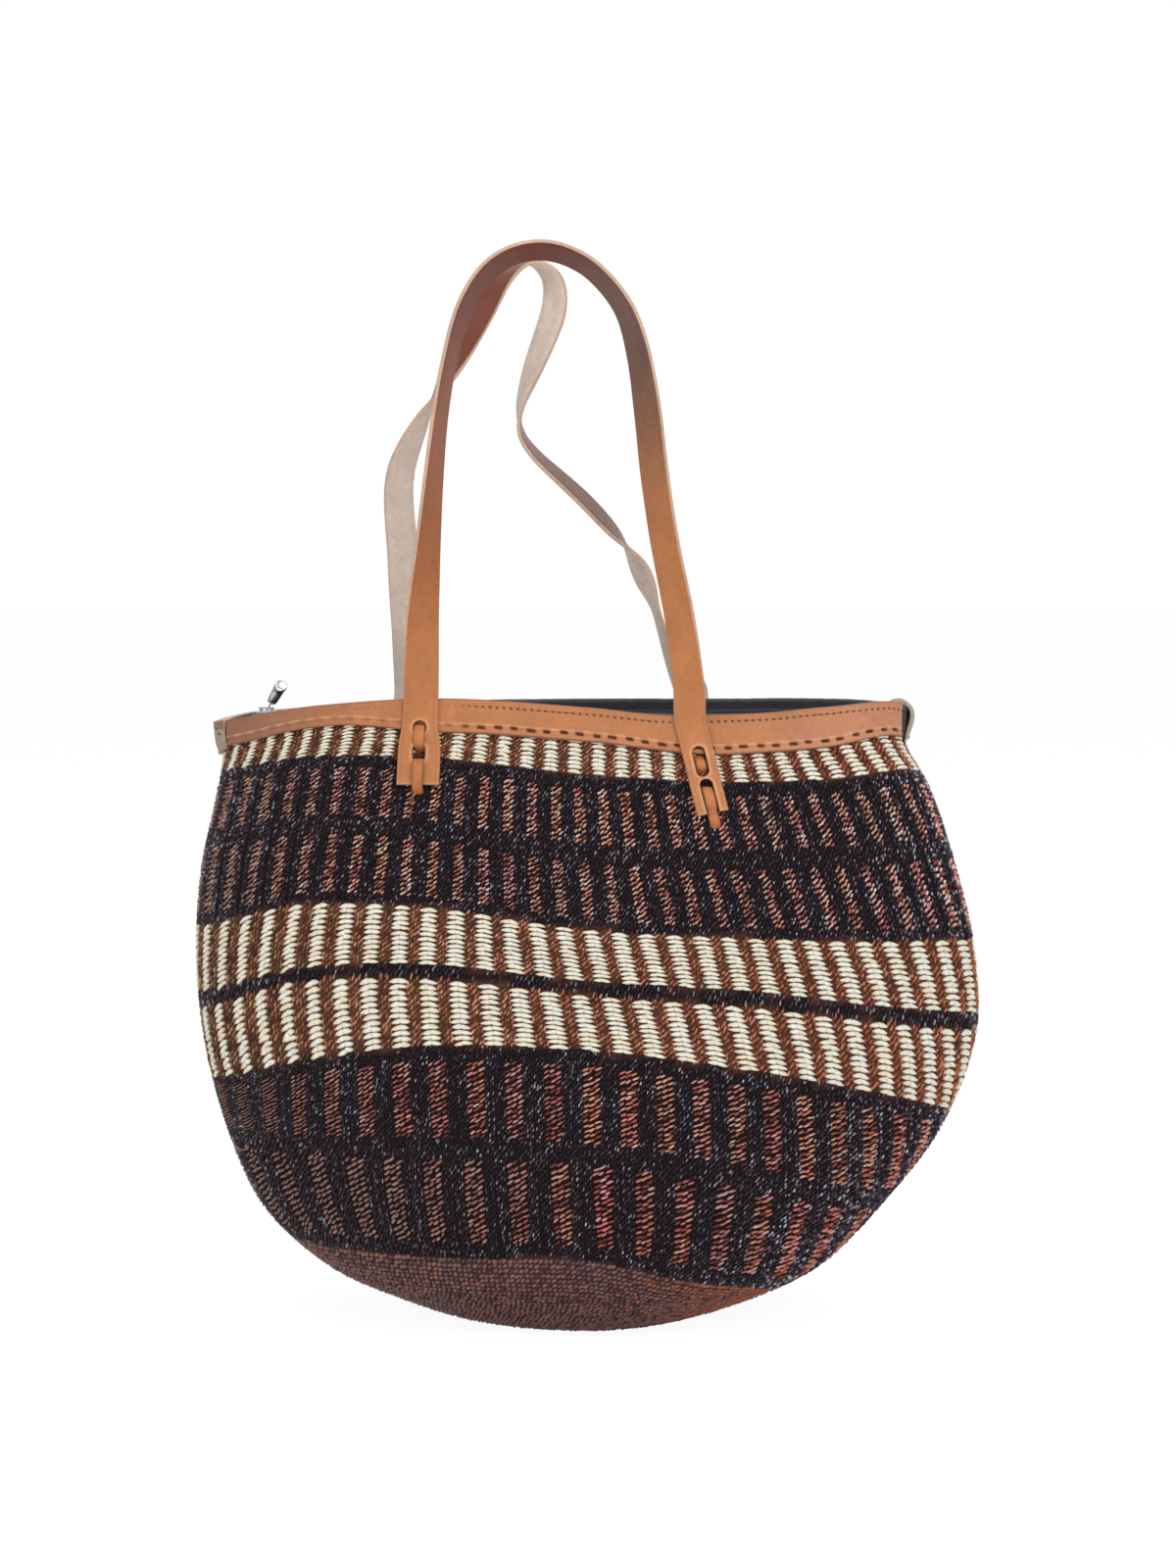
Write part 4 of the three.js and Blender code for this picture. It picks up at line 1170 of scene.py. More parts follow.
def seam_threads(name, angles, arc, pitch, length, down, offset, radius, tone, node):
    """Separate thread stitches, each a capsule that dips at both ends."""
    count = int((arc[-1] - arc[0]) / pitch) - 2
    middles = (np.floor(arc[0] / pitch) + 1.5 + np.arange(count)) * pitch
    along = np.linspace(-1, 1, 7)
    ring = full_turn(6)
    arcs = middles[:, None, None] + along[None, :, None] * length / 2
    thick = radius * np.sqrt(np.maximum(1 - along**6, 0.04))[None, :, None]
    dip = 0.45 * np.abs(along)[None, :, None] ** 3
    offsets = offset - dip + thick * np.sin(ring)
    spots = np.interp(arcs, arc, angles) + np.zeros(offsets.shape)
    downs = down(spots) + thick * np.cos(ring)
    points = rim_point(spots, downs, offsets)
    worn = faded(points[..., 0])[..., None]
    # Worn threads go towards the band's left colour, which is painted shade.
    shade = towards(tone, LEATHER_LEFT_SHADE, worn) * jitter((count, 1, 1, 1), 0.08)
    made = tubes(name, points, yarn, shade, fibre=points)
    belongs(made, "root", "thread", node)


def corner_curl():
    """The rear band's right end, curled over the corner with its flesh side out."""
    place = np.linspace(0, len(CURL_PATH) - 1, 61)
    x, z = curves(CURL_PATH, place)
    path = np.stack([x, 0 * x, z], -1)
    along = unit(np.gradient(path, axis=0))
    out = np.cross(along, (0.0, -1.0, 0.0))
    thick = np.interp(place, [0, 1, 5, 6, 8], [0.7, 1.0, 1.15, 1.1, 0.5])[:, None, None]
    front = np.interp(place, [0, 3, 8], [-5, -8, -11])[:, None] + 0.25 * np.sin(place * 2.3)[:, None]
    outline = np.array([(1, 0.3), (0.8, 0), (-0.8, 0), (-1, 0.3), (-1, CURL_DEPTH), (1, CURL_DEPTH)])
    sections = path[:, None] + out[:, None] * outline[:, :1] * thick
    sections[..., 1] += front + outline[:, 1]
    tone = np.broadcast_to(FLESH_SHADED, sections.shape) * jitter((len(place), 1, 1), 0.03)
    made = tube("rim_leather_curl", sections, leather, tone, nap=0.9)
    belongs(made, "root", "leather")


def rim_band():
    front_angles, front_arc = even_angles(-180 + FRONT_BAND_END, -FRONT_BAND_END, BAND_STEP)
    rear_angles, rear_arc = even_angles(RIGHT_WRAP, LEFT_WRAP, BAND_STEP)
    degrees = np.degrees(rear_angles)
    sewn = np.ones(len(front_angles))
    form = (front_height, front_rise, nowhere, nowhere, nowhere)
    rim_strip("rim_leather_front", front_angles, front_arc, form, sewn, "rim_band_front")
    sewn = smoothstep(degrees, 14, 16) * (1 - smoothstep(degrees, 164, 166))
    form = (rear_height, rear_rise, rear_lift, rear_flesh, rear_slit_shade)
    rim_strip("rim_leather_rear", rear_angles, rear_arc, form, sewn, "rim_band_rear")
    corner_curl()
    kept = (degrees > REAR_BAND_END) & (degrees < 180 - REAR_BAND_END)
    lengths = {
        "front": (front_angles, front_arc, front_height, front_rise),
        "rear": (rear_angles[kept], rear_arc[kept], rear_height, rear_rise),
    }
    for name, (angles, arc, height, rise) in lengths.items():
        seam_threads(
            f"top_stitches_{name}", angles, arc + HOLE_PITCH / 2, HOLE_PITCH, 2.2,
            lambda spots, rise=rise: TOP_SEAM_DOWN - rise(spots), BAND_OUTER - 0.2, 0.2, TAN_THREAD,
            f"top_seam_{name}")
        seam_threads(
            f"hand_stitches_{name}", angles, arc, SLOT_PITCH, SLOT_LENGTH - 0.4,
            lambda spots, height=height: height(spots) - LOWER_SEAM_UP + 0.1,
            BAND_OUTER - 0.6, 0.36, DARK_THREAD, f"lower_seam_{name}")


# Mouth: facing over the wall's edge, lining, corner tapes, zip panels and zip

GAP = 0.3
FACING_THICKNESS = 1
FACING_DEPTH = 7
LACE_SPACE = 2.6
LINING_THICKNESS = 1
FACING_OUTSIDE = -(WALL_THICKNESS + GAP)
FACING_INSIDE = FACING_OUTSIDE - FACING_THICKNESS
LINING_OUTSIDE = -(WALL_THICKNESS + LACE_SPACE)
LINING_INSIDE = LINING_OUTSIDE - LINING_THICKNESS
LINING_TOP = MOUTH_HEIGHT - FACING_DEPTH + 2


def facing():
    angles, arc = even_angles(-180, 180, 1.6)
    angles, arc = angles[:-1], arc[:-1]
    turn = np.radians(np.linspace(0, 180, 9))
    middle = FACING_INSIDE / 2
    half = -FACING_INSIDE / 2
    crown = 1.6
    over = [(middle + half * math.cos(t), crown * (1 - math.sin(t))) for t in turn]
    inside = [(FACING_INSIDE, 3), (FACING_INSIDE, 5), (FACING_INSIDE, FACING_DEPTH)]
    outside = [(FACING_OUTSIDE, FACING_DEPTH), (FACING_OUTSIDE, 5), (FACING_OUTSIDE, 1.6)]
    under = [(FACING_OUTSIDE, 1.25), (-0.3, 1.3)]
    outline = np.array(over + inside + outside + under)
    ripple = 0.16 * np.sin(arc / 2.7)[:, None] * np.sin(arc / 11.3)[:, None]
    shown = np.array([True] * (len(over) + len(inside)) + [False] * (len(outside) + len(under)))
    downs = outline[:, 1] + np.where(shown, np.abs(ripple), 0)
    offsets = outline[:, 0] + np.where(shown, ripple * 0.5, 0)
    sections = rim_point(angles[:, None], downs, offsets)
    made = tube("mouth_binding", sections, cloth, CLOTH_BLACK, closed=True)
    belongs(made, "root", "lining_fabric", "zip_facing")


def lining():
    angles = full_turn(200)
    rows = np.concatenate([np.linspace(-0.98, 0, 8), np.linspace(0.15, row_at(LINING_TOP), 70)])
    climb = np.clip(rows, 0, LAST_ROW) / LAST_ROW
    folds = np.sin(angles * 23 + 2 * np.sin(angles * 5)) * 0.5 + np.sin(angles * 9) * 0.5
    depth = 1.6 * np.sin(climb * math.pi)[:, None] * (1 + folds[None])
    outer = skin_point(angles, rows[:, None], LINING_OUTSIDE - depth * 0.9)
    inner = skin_point(angles, rows[:, None], LINING_INSIDE - depth)
    made = tube("lining_bag", np.concatenate([outer, inner[::-1]]), cloth, CLOTH_BLACK)
    belongs(made, "root", "lining_fabric", "lining")


TAB = {"inside": 0.5, "outside": 1.4, "top": 0.6, "front": 12.4, "rear": 7.5}


def corner_tape(name, middle, turn, height, node):
    ends = middle - turn * TAB["front"], middle + turn * TAB["rear"]
    angles, arc = even_angles(*ends, 0.8)
    low = TAB["top"] + height
    r = 0.35
    outline = np.array(
        [(TAB["outside"], down) for down in np.linspace(TAB["top"] + r, low - r, 16)]
        + [(TAB["outside"] - r, low), (TAB["inside"], low), (TAB["inside"], TAB["top"])]
        + [(TAB["outside"] - r, TAB["top"])])
    ribs = 0.08 * np.sin(arc * 2.2)[:, None] * (np.arange(len(outline)) < 16)
    sections = rim_point(angles[:, None], outline[:, 1], outline[:, 0] + ribs)
    made = tube(name, sections, cloth, CLOTH_BLACK)
    belongs(made, "root", "lining_fabric", node)


PANEL_TOP = 309.5
PANEL_REACH = LINING_INSIDE - 0.6
PANEL_PART = 0.35
TAPE_RIDGES = (5.4, 7.2, 9.0)
TAPE_SEAM = 10.6
TAPE_WIDTH = 11
WINDOW_LEFT = -135
WINDOW_RIGHT = 118
FLAP_FOLD = 19.5
FOLD_REACH = 3.5
ZIP_HALF_GAP = 1.4
COIL_WIDTH = 2.2
COIL_HEIGHT = 1.8
COIL_MIDDLE = PANEL_TOP + GAP + COIL_HEIGHT / 2
COIL_PITCH = 1.45
BEAD_HALF_WIDTH = 0.5
BEAD_HALF_HEIGHT = 0.88
BEAD_SLANT = 0.25
SLIDER_START = -163.6
SLIDER_TRAVEL = 300
SLIDER_ROUNDING = 0.25
STOP_REACH = 6.6
STOP_LENGTH = 1.8
STOPS = {"left": SLIDER_START - STOP_REACH, "right": SLIDER_START + SLIDER_TRAVEL + STOP_REACH}
SIDES = {"front": -1, "rear": 1}


def mouth_edge(x, side):
    """How far the mouth's inner edge lies from the zip's line at each x."""
    angles = side * np.linspace(math.pi, 0, 2400)
    points = skin_point(angles, row_at(PANEL_TOP), PANEL_REACH)
    return np.interp(x, points[:, 0], np.abs(points[:, 1]))


def panel_cloth(name, side, x, inner):
    """One half of the zip's cloth from the mouth's edge to the zip, with the tape's fine ridges."""
    edge = mouth_edge(x, side)
    inner = np.minimum(inner, edge - 0.4)
    share = np.linspace(0, 1, 44)
    out = edge[:, None] + (inner - edge)[:, None] * share
    ridges = sum(0.42 * bell(out, at, 0.5) for at in TAPE_RIDGES)
    seam = -0.35 * bell(out, TAPE_SEAM, 0.4)
    rim = 0.45 * bell(share, 0, 0.05)
    beyond = (out - TAPE_WIDTH) / np.maximum(edge[:, None] - TAPE_WIDTH, 1)
    puff = 0.5 * np.sin(np.clip(beyond, 0, 1) * math.pi)
    crumple = 0.3 * np.sin(x[:, None] / 6.1 + out / 3) * np.sin(x[:, None] / 15.7)
    crumple = crumple * smoothstep(out, 10, 13)
    z = PANEL_TOP - 0.5 + ridges + seam + rim + puff + crumple
    top = np.stack([x[:, None] + 0 * out, side * out, z], -1)
    low = top.copy()
    low[..., 2] = np.minimum(z - 0.9, PANEL_TOP - 0.75)
    sections = np.concatenate([top, low[:, ::-1]], 1)
    return tube(name, sections, cloth, CLOTH_BLACK)


def zip_panels():
    x = np.arange(WINDOW_LEFT + GAP, WINDOW_RIGHT - GAP, 1.2)
    for name, side in SIDES.items():
        made = panel_cloth(f"zip_cloth_{name}", side, x, PANEL_PART)
        bends(
            made, ("root", f"{name}_flap"),
            (0, side * (FLAP_FOLD + FOLD_REACH), PANEL_TOP),
            (0, side * (FLAP_FOLD - FOLD_REACH), PANEL_TOP),
            "lining_fabric", f"zip_border_{name}", f"zip_panel_{name}")


def zip_ends():
    """Fixed ends of the panels, parted where the slider parks."""
    tips = skin_point(np.array([math.pi, 0]), row_at(PANEL_TOP), PANEL_REACH)
    left_tip, right_tip = tips[:, 0]
    parked = {
        "left": (left_tip + 0.5, WINDOW_LEFT, 1),
        "right": (WINDOW_RIGHT, right_tip - 0.5, -1),
    }
    for name, (low, high, inward) in parked.items():
        x = np.linspace(low, high, 40)
        parted = smoothstep((x - STOPS[name]) * inward, -0.5, 1.0)
        inner = 0.05 + (ZIP_HALF_GAP - 0.05) * parted
        for where, side, *nodes in (("front", -1, f"zip_end_{name}"), ("rear", 1)):
            made = panel_cloth(f"zip_corner_{name}_{where}", side, x, inner)
            belongs(made, "root", "lining_fabric", *nodes)


def zip_teeth(name, side, low, high, reach):
    """A row of coil turns, each a small bead across the zip's edge."""
    middles = np.arange(low + COIL_PITCH / 2, high - COIL_PITCH / 4, COIL_PITCH)
    middles = middles + (COIL_PITCH / 4 if side > 0 else 0)
    middles = middles[(middles > low + 0.5) & (middles < high - 0.5)]
    stations = np.linspace(0, 1, 7)
    ring = full_turn(8)
    out = reach + (ZIP_HALF_GAP + COIL_WIDTH - reach) * stations
    thick = np.sqrt(np.maximum(1 - (2 * stations - 1) ** 4, 0.06))
    x = middles[:, None, None] + BEAD_HALF_WIDTH * np.cos(ring) * thick[:, None]
    x = x + BEAD_SLANT * (1 - stations[:, None])
    y = side * out[:, None] + np.zeros(x.shape)
    z = COIL_MIDDLE + BEAD_HALF_HEIGHT * np.sin(ring) * thick[:, None] + np.zeros(x.shape)
    return tubes(name, np.stack([x, y, z], -1), nylon, NYLON_BLACK)


def zip_chain():
    for name, side in SIDES.items():
        made = zip_teeth(f"zip_teeth_{name}", side, WINDOW_LEFT + GAP, WINDOW_RIGHT - GAP, 0.15)
        belongs(made, f"{name}_flap", "zip_coil", f"zip_coil_{name}")
        chains = (STOPS["left"], WINDOW_LEFT - GAP), (WINDOW_RIGHT + GAP, STOPS["right"])
        for end, (low, high) in zip(STOPS, chains):
            made = zip_teeth(f"zip_teeth_{end}_{name}", side, low, high, ZIP_HALF_GAP)
            belongs(made, "root", "zip_coil")
    for end, stop in STOPS.items():
        reach = ZIP_HALF_GAP + COIL_WIDTH
        ring = full_turn(16)
        across = np.linspace(-1, 1, 9)
        thick = np.sqrt(np.maximum(1 - across**8, 0.1))[:, None]
        x = stop + STOP_LENGTH / 2 * np.cos(ring) * thick
        z = COIL_MIDDLE + COIL_HEIGHT / 2 * np.sin(ring) * thick
        sections = np.stack([x, across[:, None] * reach + np.zeros(x.shape), z], -1)
        made = tube(f"zip_stop_{end}", sections, nylon, NYLON_BLACK)
        belongs(made, "root", "zip_coil", f"zip_chain_end_{end}")


def zip_slider():
    """The slider's own solid, with rounded edges."""
    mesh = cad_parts["zip_slider"].data.copy()
    mesh.name = "slider"
    made = placed("slider", mesh)
    soften = made.modifiers.new("rounding", "BEVEL")
    soften.width = SLIDER_ROUNDING * MM
    soften.segments = 3
    soften.limit_method = "ANGLE"
    soften.angle_limit = math.radians(30)
    apply_modifiers(made)
    dress(made.data, places_of(made.data), metal, NICKEL)
    belongs(made, "zip_runner", "zip_metal", "zip_slider")


PULL_PIVOT = (-163.6, 0, 313.55)
PULL_TILT = 31
PULL_PROFILE = [
    (0, 4), (1.3, 4.1), (2, 4.5), (2.45, 5.4), (2.65, 7), (2.8, 9.5), (2.9, 12.2), (3, 12.5), (3.2, 12.9),
    (3.25, 13.7), (3.15, 14.1), (2.75, 14.4), (2.5, 14.35), (2.35, 14.15), (1.2, 14.2), (0, 14.2),
]
PULL_LOOP = [
    (-1.5, 5.6), (-1.75, 4), (-1.8, 2.4), (-1.75, 1), (-1.1, 0.15), (0, 0), (1.1, 0.15), (1.75, 1),
    (1.8, 2.4), (1.75, 4), (1.5, 5.6),
]


def tilted(points):
    """Points of the upright pull, leaned to where it stands at rest."""
    turn = math.radians(PULL_TILT)
    x, y, z = np.moveaxis(points, -1, 0)
    leaned = [x * math.cos(turn) + z * math.sin(turn), y, z * math.cos(turn) - x * math.sin(turn)]
    return np.stack(leaned, -1) + np.array(PULL_PIVOT)


def zip_pull():
    """A turned barrel on a wire loop, its end cut aslant towards the front, with painted shade low down
    and in a groove and a painted highlight on its end.
    """
    ring = full_turn(28)
    radius, height = np.array(PULL_PROFILE).T
    radius = np.maximum(radius, 0.02)[:, None]
    slant = 0.75 * smoothstep(height, 8, 12.8)[:, None]
    up = height[:, None] + slant * (radius * np.sin(ring) + 1.2)
    sections = np.stack([radius * np.cos(ring), radius * np.sin(ring), up], -1)
    # Painted shade along the barrel and a painted highlight on its end.
    shade = np.interp(height, [4, 6, 12, 12.5, 13, 14.1, 14.2], [0.4, 0.6, 0.75, 0.2, 0.3, 0.9, 1.15])
    tone = np.repeat(NICKEL * shade[:, None], len(ring), 0)
    made = tube("pull_barrel", tilted(sections), metal, np.clip(tone, 0, 1))
    belongs(made, "zip_tab", "zip_metal", "zip_pull")
    place = np.linspace(0, len(PULL_LOOP) - 1, 61)
    y, z = curves(PULL_LOOP, place)
    way = np.stack([0 * y, y, z], -1)
    along = unit(np.gradient(way, axis=0))
    side = np.array([1.0, 0.0, 0.0])
    out = np.cross(along, side)
    turn = full_turn(12)[:, None]
    sections = way[:, None] + 0.42 * (np.cos(turn) * side + np.sin(turn) * out[:, None])
    made = tube("pull_loop", tilted(sections), metal, NICKEL)
    belongs(made, "zip_tab", "zip_metal")


# Straps

LEATHER_THICKNESS = 2.2
STRAP_SEAT = 0.7
STRAP_WIDTH = 17.5
STRAP_DROP = 11
STRAP_HOLD = 2
FLEX_GAP = 0.6
LOOP_DEPTH = 38.1
FRONT_FLEX = 327
REAR_FLEX = 321
ON_BAND = BAND_OUTER + GAP + LEATHER_THICKNESS / 2
ON_WALL = STRAP_SEAT + LEATHER_THICKNESS / 2

# Each knot is x, y, z and the turn of the grain side in degrees: 0 faces the front, 90 faces
# out of the loop, 180 faces the back. A slot is its lowest and highest height, and a lace's
# route gives heights and offsets from the wall's outer face.
FRONT_KNOTS = [
    (-82.8, -38.1, 327.3, 0), (-82, -38.1, 362, -27), (-79.2, -38.1, 398, -50),
    (-75.8, -38.1, 436, -64), (-72.6, -38.1, 464, -70), (-68, -38.1, 490, -71),
    (-60.8, -38.1, 514.5, -68), (-50, -38.1, 531.6, -65), (-37, -38.1, 540.5, -63),
    (-22, -38.1, 543, -62), (-8, -38.1, 539.4, -62), (5, -38.1, 530.8, -62), (18, -38.1, 514, -60),
    (25, -38.1, 492, -52), (29.4, -38.1, 464, -44), (32.8, -38.1, 434, -42), (38, -38.1, 400, -40),
    (45.6, -38.1, 362, -34), (50.4, -38.1, 327.3, -16),
]
REAR_KNOTS = [
    (-92, 38.1, 321.3, 180), (-93.4, 38.1, 352, 167), (-95.8, 37, 390, 150), (-97.2, 34, 430, 140),
    (-86, 31, 459, 110), (-71.5, 30, 484, 60), (-58, 29, 511, 28), (-44, 29, 533, 50),
    (-29.5, 29, 540, 88), (-18.2, 29, 532, 122), (-17.2, 29, 517, 134), (-22.5, 29, 501, 131),
    (-29.5, 29, 483, 118), (-35, 29, 466, 98), (-34.3, 29, 453, 84), (-26.5, 29, 442, 77),
    (-14.5, 29, 431, 73), (-1, 29.3, 418.5, 70), (12.5, 30, 404, 74), (20, 30.6, 395, 92),
    (26, 31.3, 385.5, 118), (30.5, 32.2, 375, 118), (34.5, 33.4, 364, 98), (39.5, 35, 350, 104),
    (46.5, 37, 335, 130), (53.6, 38.1, 321.3, 165),
]
LONG_SLOTS = [(298.2, 304.4), (284.8, 292.8)]
SHORT_SLOTS = [(287.6, 301.8), (262, 286.2)]
LONG_ROUTE = [
    (292, -5.3), (297, -5.3), (300.4, -4.7), (301.8, -2.6), (302.4, 0.5), (302.3, 3.4),
    (301.3, 5.4), (298.6, 6.2), (295.6, 6.3), (293.6, 5.6), (292.2, 3.8), (291.5, 1.2),
    (290.8, -2.4), (290, -4.6), (288.6, -5.3), (287.4, -4.6), (286.8, -2.4), (286.3, 0.6),
    (285.2, 3.4), (282.6, 4.7), (279.6, 4.8), (276.8, 4.5), (274.2, 3.2), (272.6, 1),
    (271.4, -2.2), (270, -4.6), (267, -5.3), (261, -5.3),
]
SHORT_ROUTE = [
    (306, -5.3), (302, -5.3), (299.6, -4.7), (298.4, -2.4), (297.6, 0.4), (296, 2.4),
    (294, 3), (292.2, 2.4), (291, 0.4), (290.2, -2.4), (289.2, -4.6), (287, -5.3),
    (285.2, -5.2), (284, -3.8), (283.2, -1.2), (282, 1.6), (279.6, 3.2), (276.4, 3.4),
    (273.4, 2.6), (271.6, 1), (270.4, 0.6), (268.4, 1.2), (266, 1.1), (264.2, -0.6),
    (263, -2.8), (261.4, -4.7), (259, -5.2), (255, -5.2),
]
LONG_LACING = {"end": 275, "slots": LONG_SLOTS, "route": LONG_ROUTE}
SHORT_LACING = {"end": 270, "slots": SHORT_SLOTS, "route": SHORT_ROUTE}
FRONT = {"side": -1, "flex": FRONT_FLEX}
REAR = {"side": 1, "flex": REAR_FLEX}

# x is where the strap's middle stands at the tip and at the mouth. The strap has its end
# width up to flare's first length from the tip, and its own width from the second on.
STRAP_ENDS = {
    "front_left": {**FRONT, **LONG_LACING, "x": (-84.1, -82.8), "width": 21.4, "flare": (16, 34)},
    "front_right": {**FRONT, **SHORT_LACING, "x": (61.6, 50.4), "width": 16, "flare": (60, 120)},
    "rear_left": {**REAR, **LONG_LACING, "x": (-93.5, -92), "width": 21, "flare": (16, 34)},
    "rear_right": {**REAR, **LONG_LACING, "x": (60.6, 53.6), "width": 21, "flare": (16, 34)},
}

# Grain colours along each strap, as (share of its length, colour). The leather is tan at both
# ends; the darker crown and the duller stretch beyond it are painted shade along the arch.
STRAP_TAN = srgb(184, 116, 66)
STRAP_BROWN = srgb(140, 74, 42)
# Painted shade over the crown and along the duller stretch.
STRAP_CROWN_SHADE = srgb(108, 46, 24)
STRAP_DULL_SHADE = srgb(108, 74, 62)
FRONT_GRAIN = [
    (0.08, STRAP_TAN), (0.3, STRAP_BROWN), (0.4, STRAP_CROWN_SHADE), (0.5, STRAP_CROWN_SHADE),
    (0.56, STRAP_DULL_SHADE), (0.62, STRAP_DULL_SHADE), (0.77, STRAP_TAN),
]
REAR_GRAIN = [
    (0, STRAP_TAN), (0.28, STRAP_BROWN), (0.36, STRAP_CROWN_SHADE), (0.44, STRAP_CROWN_SHADE),
    (0.54, STRAP_DULL_SHADE), (0.84, STRAP_DULL_SHADE), (1, STRAP_TAN),
]
LACE_WIDTH = 5.9
LACE_THICKNESS = 1.7
LACE_HOLE_SIDE = 0.25
SLOT_LEVEL = 2
CUTTER_DEPTHS = (-4, 9)
SLOT_HALF = LACE_WIDTH / 2 + LACE_HOLE_SIDE


def strap_angle(strap, height):
    share = (height - strap["end"]) / (MOUTH_HEIGHT - strap["end"])
    x = strap["x"][0] + (strap["x"][1] - strap["x"][0]) * share
    row = row_at(height)
    half = np.where(x > 0, spline(RINGS["right"], row), spline(RINGS["left"], row))
    return strap["side"] * np.arccos(x / half)


def strap_skin(strap, height, offset):
    return skin_point(strap_angle(strap, height), row_at(height), offset)


def strap_end_path(strap):
    """Points and facings of a sewn end, from its tip up to the flex line."""
    height = np.linspace(strap["end"], MOUTH_HEIGHT, 60)
    band_foot = MOUTH_HEIGHT - BAND_HEIGHT
    rise = smoothstep(height, band_foot - STRAP_DROP, band_foot - STRAP_HOLD)
    offset = ON_WALL + (ON_BAND - ON_WALL) * rise
    points = strap_skin(strap, height, offset)
    facing_way = outward(strap_angle(strap, height), row_at(height))
    top = np.array([(strap["x"][1], strap["side"] * LOOP_DEPTH, strap["flex"] - FLEX_GAP / 2)])
    points = np.concatenate([points, top])
    facing_way = np.concatenate([facing_way, [(0, strap["side"], 0)]])
    return points, facing_way


def loop_path(knots):
    place = np.linspace(0, len(knots) - 1, (len(knots) - 1) * 14 + 1)
    x, y, z, turn = curves(knots, place)
    points = np.stack([x, y, z], -1)
    along = unit(np.gradient(points, axis=0))
    forward = np.array([0.0, -1.0, 0.0])
    turn = np.radians(turn)[:, None]
    facing_way = forward * np.cos(turn) + np.cross(forward, along) * np.sin(turn)
    return points, facing_way


def strap_widths(arc, ends):
    """A strap's width along its length, wider or narrower towards its sewn ends."""
    widths = np.full(len(arc), float(STRAP_WIDTH))
    for end, reach in zip(ends, (arc, arc[-1] - arc)):
        widths += (end["width"] - STRAP_WIDTH) * (1 - smoothstep(reach, *end["flare"]))
    return widths


def resample(points, values):
    """Even steps along the loop, and finer ones where the sewn ends lie against the wall."""
    arc = lengths_along(points)
    fine = END_REACH / END_STEP
    coarse = (arc[-1] - 2 * END_REACH) / LOOP_STEP
    wanted = np.concatenate([
        np.linspace(0, END_REACH, int(fine), endpoint=False),
        np.linspace(END_REACH, arc[-1] - END_REACH, int(coarse), endpoint=False),
        np.linspace(arc[-1] - END_REACH, arc[-1], int(fine) + 1),
    ])
    read = [np.stack([np.interp(wanted, arc, column) for column in np.atleast_2d(table.T)], -1)
            for table in (points, *values)]
    return wanted, *read


def smoothed(values, passes):
    for _ in range(passes):
        middle = (values[:-2] + values[1:-1] * 2 + values[2:]) / 4
        values = np.concatenate([values[:1], middle, values[-1:]])
    return values


LOOP_STEP = 1.8
END_STEP = 0.8
END_REACH = 46
STRAP_EDGE = [(0, 0), (0.12, 0.7), (0.45, 0.97), (1.1, 1.04), (1.75, 1.07), (2.05, 0.98), (2.35, 1.07)]
GRAIN_COLUMNS = 19
FRAY_REACH = 1.3
SLOT_LIP = 0.3


def strap_outline(width):
    """A strap's cross-section as (across, thickness), grain side first."""
    half = width / 2
    inset = STRAP_EDGE[-1][0]
    left = [(-half + inset, height) for inset, height in STRAP_EDGE]
    right = [(half - inset, height) for inset, height in STRAP_EDGE[::-1]]
    shares = np.linspace(-1, 1, GRAIN_COLUMNS + 2)[1:-1]
    crown = [(share * (half - inset), 1.07 + 0.06 * (1 - share**2)) for share in shares]
    back = [
        (half - 0.12, -0.7), (half - 0.45, -0.97), (half * 0.4, -1.02), (0, -1.0),
        (-half * 0.4, -1.02), (-half + 0.45, -0.97), (-half + 0.12, -0.7),
    ]
    return np.array(left + crown + right + back) * (1, LEATHER_THICKNESS / 2)


def near_ends(arc, full, none):
    """1 nearer to either end than full, and 0 beyond none."""
    return np.maximum(1 - smoothstep(arc, full, none), smoothstep(arc, arc[-1] - none, arc[-1] - full))


def strap_tones(arc, outline_size, grain_colours):
    """Grain, pale cut edge and flesh-side colours along a strap."""
    share = arc / arc[-1]
    stops, colours = zip(*grain_colours)
    grain = np.stack([np.interp(share, stops, channel) for channel in zip(*colours)], -1)
    edge_count = len(STRAP_EDGE)
    grain_count = 2 * edge_count + GRAIN_COLUMNS
    tone = np.repeat(grain[:, None], outline_size, 1)
    index = np.arange(outline_size)
    creased = np.isin(index, (edge_count - 2, grain_count - edge_count + 1))
    sewn = near_ends(arc, 40, 60)
    tone[:, creased] *= (1 - 0.3 * sewn)[:, None, None]
    cut = np.isin(index, (0, 1, grain_count - 1, grain_count - 2, grain_count, outline_size - 1))
    pale = (0.75 * (1 - sewn) + 0.15)[:, None, None]
    tone[:, cut] = towards(tone[:, cut] * 0.95, CUT_EDGE, pale)
    flesh = (index > grain_count) & (index < outline_size - 1)
    tone[:, flesh] = FLESH_SIDE
    tone = towards(tone, CUT_EDGE, 0.5 * near_ends(arc, 0, FRAY_REACH)[:, None, None])
    return tone, np.repeat(flesh[None].astype(float), len(arc), 0)


def slot_frame(strap, low, high):
    """A slot's centre, its directions across, along and out, and half its straight run."""
    middle = (low + high) / 2
    facing_way = outward(strap_angle(strap, middle), row_at(middle))
    bottom, top = (strap_skin(strap, height, SLOT_LEVEL) for height in (low, high))
    along = unit(top - bottom)
    across = unit(np.cross(along, facing_way))
    reach = max(np.linalg.norm(top - bottom) / 2 - SLOT_HALF, 0.1)
    return (bottom + top) / 2, across, along, np.cross(across, along), reach


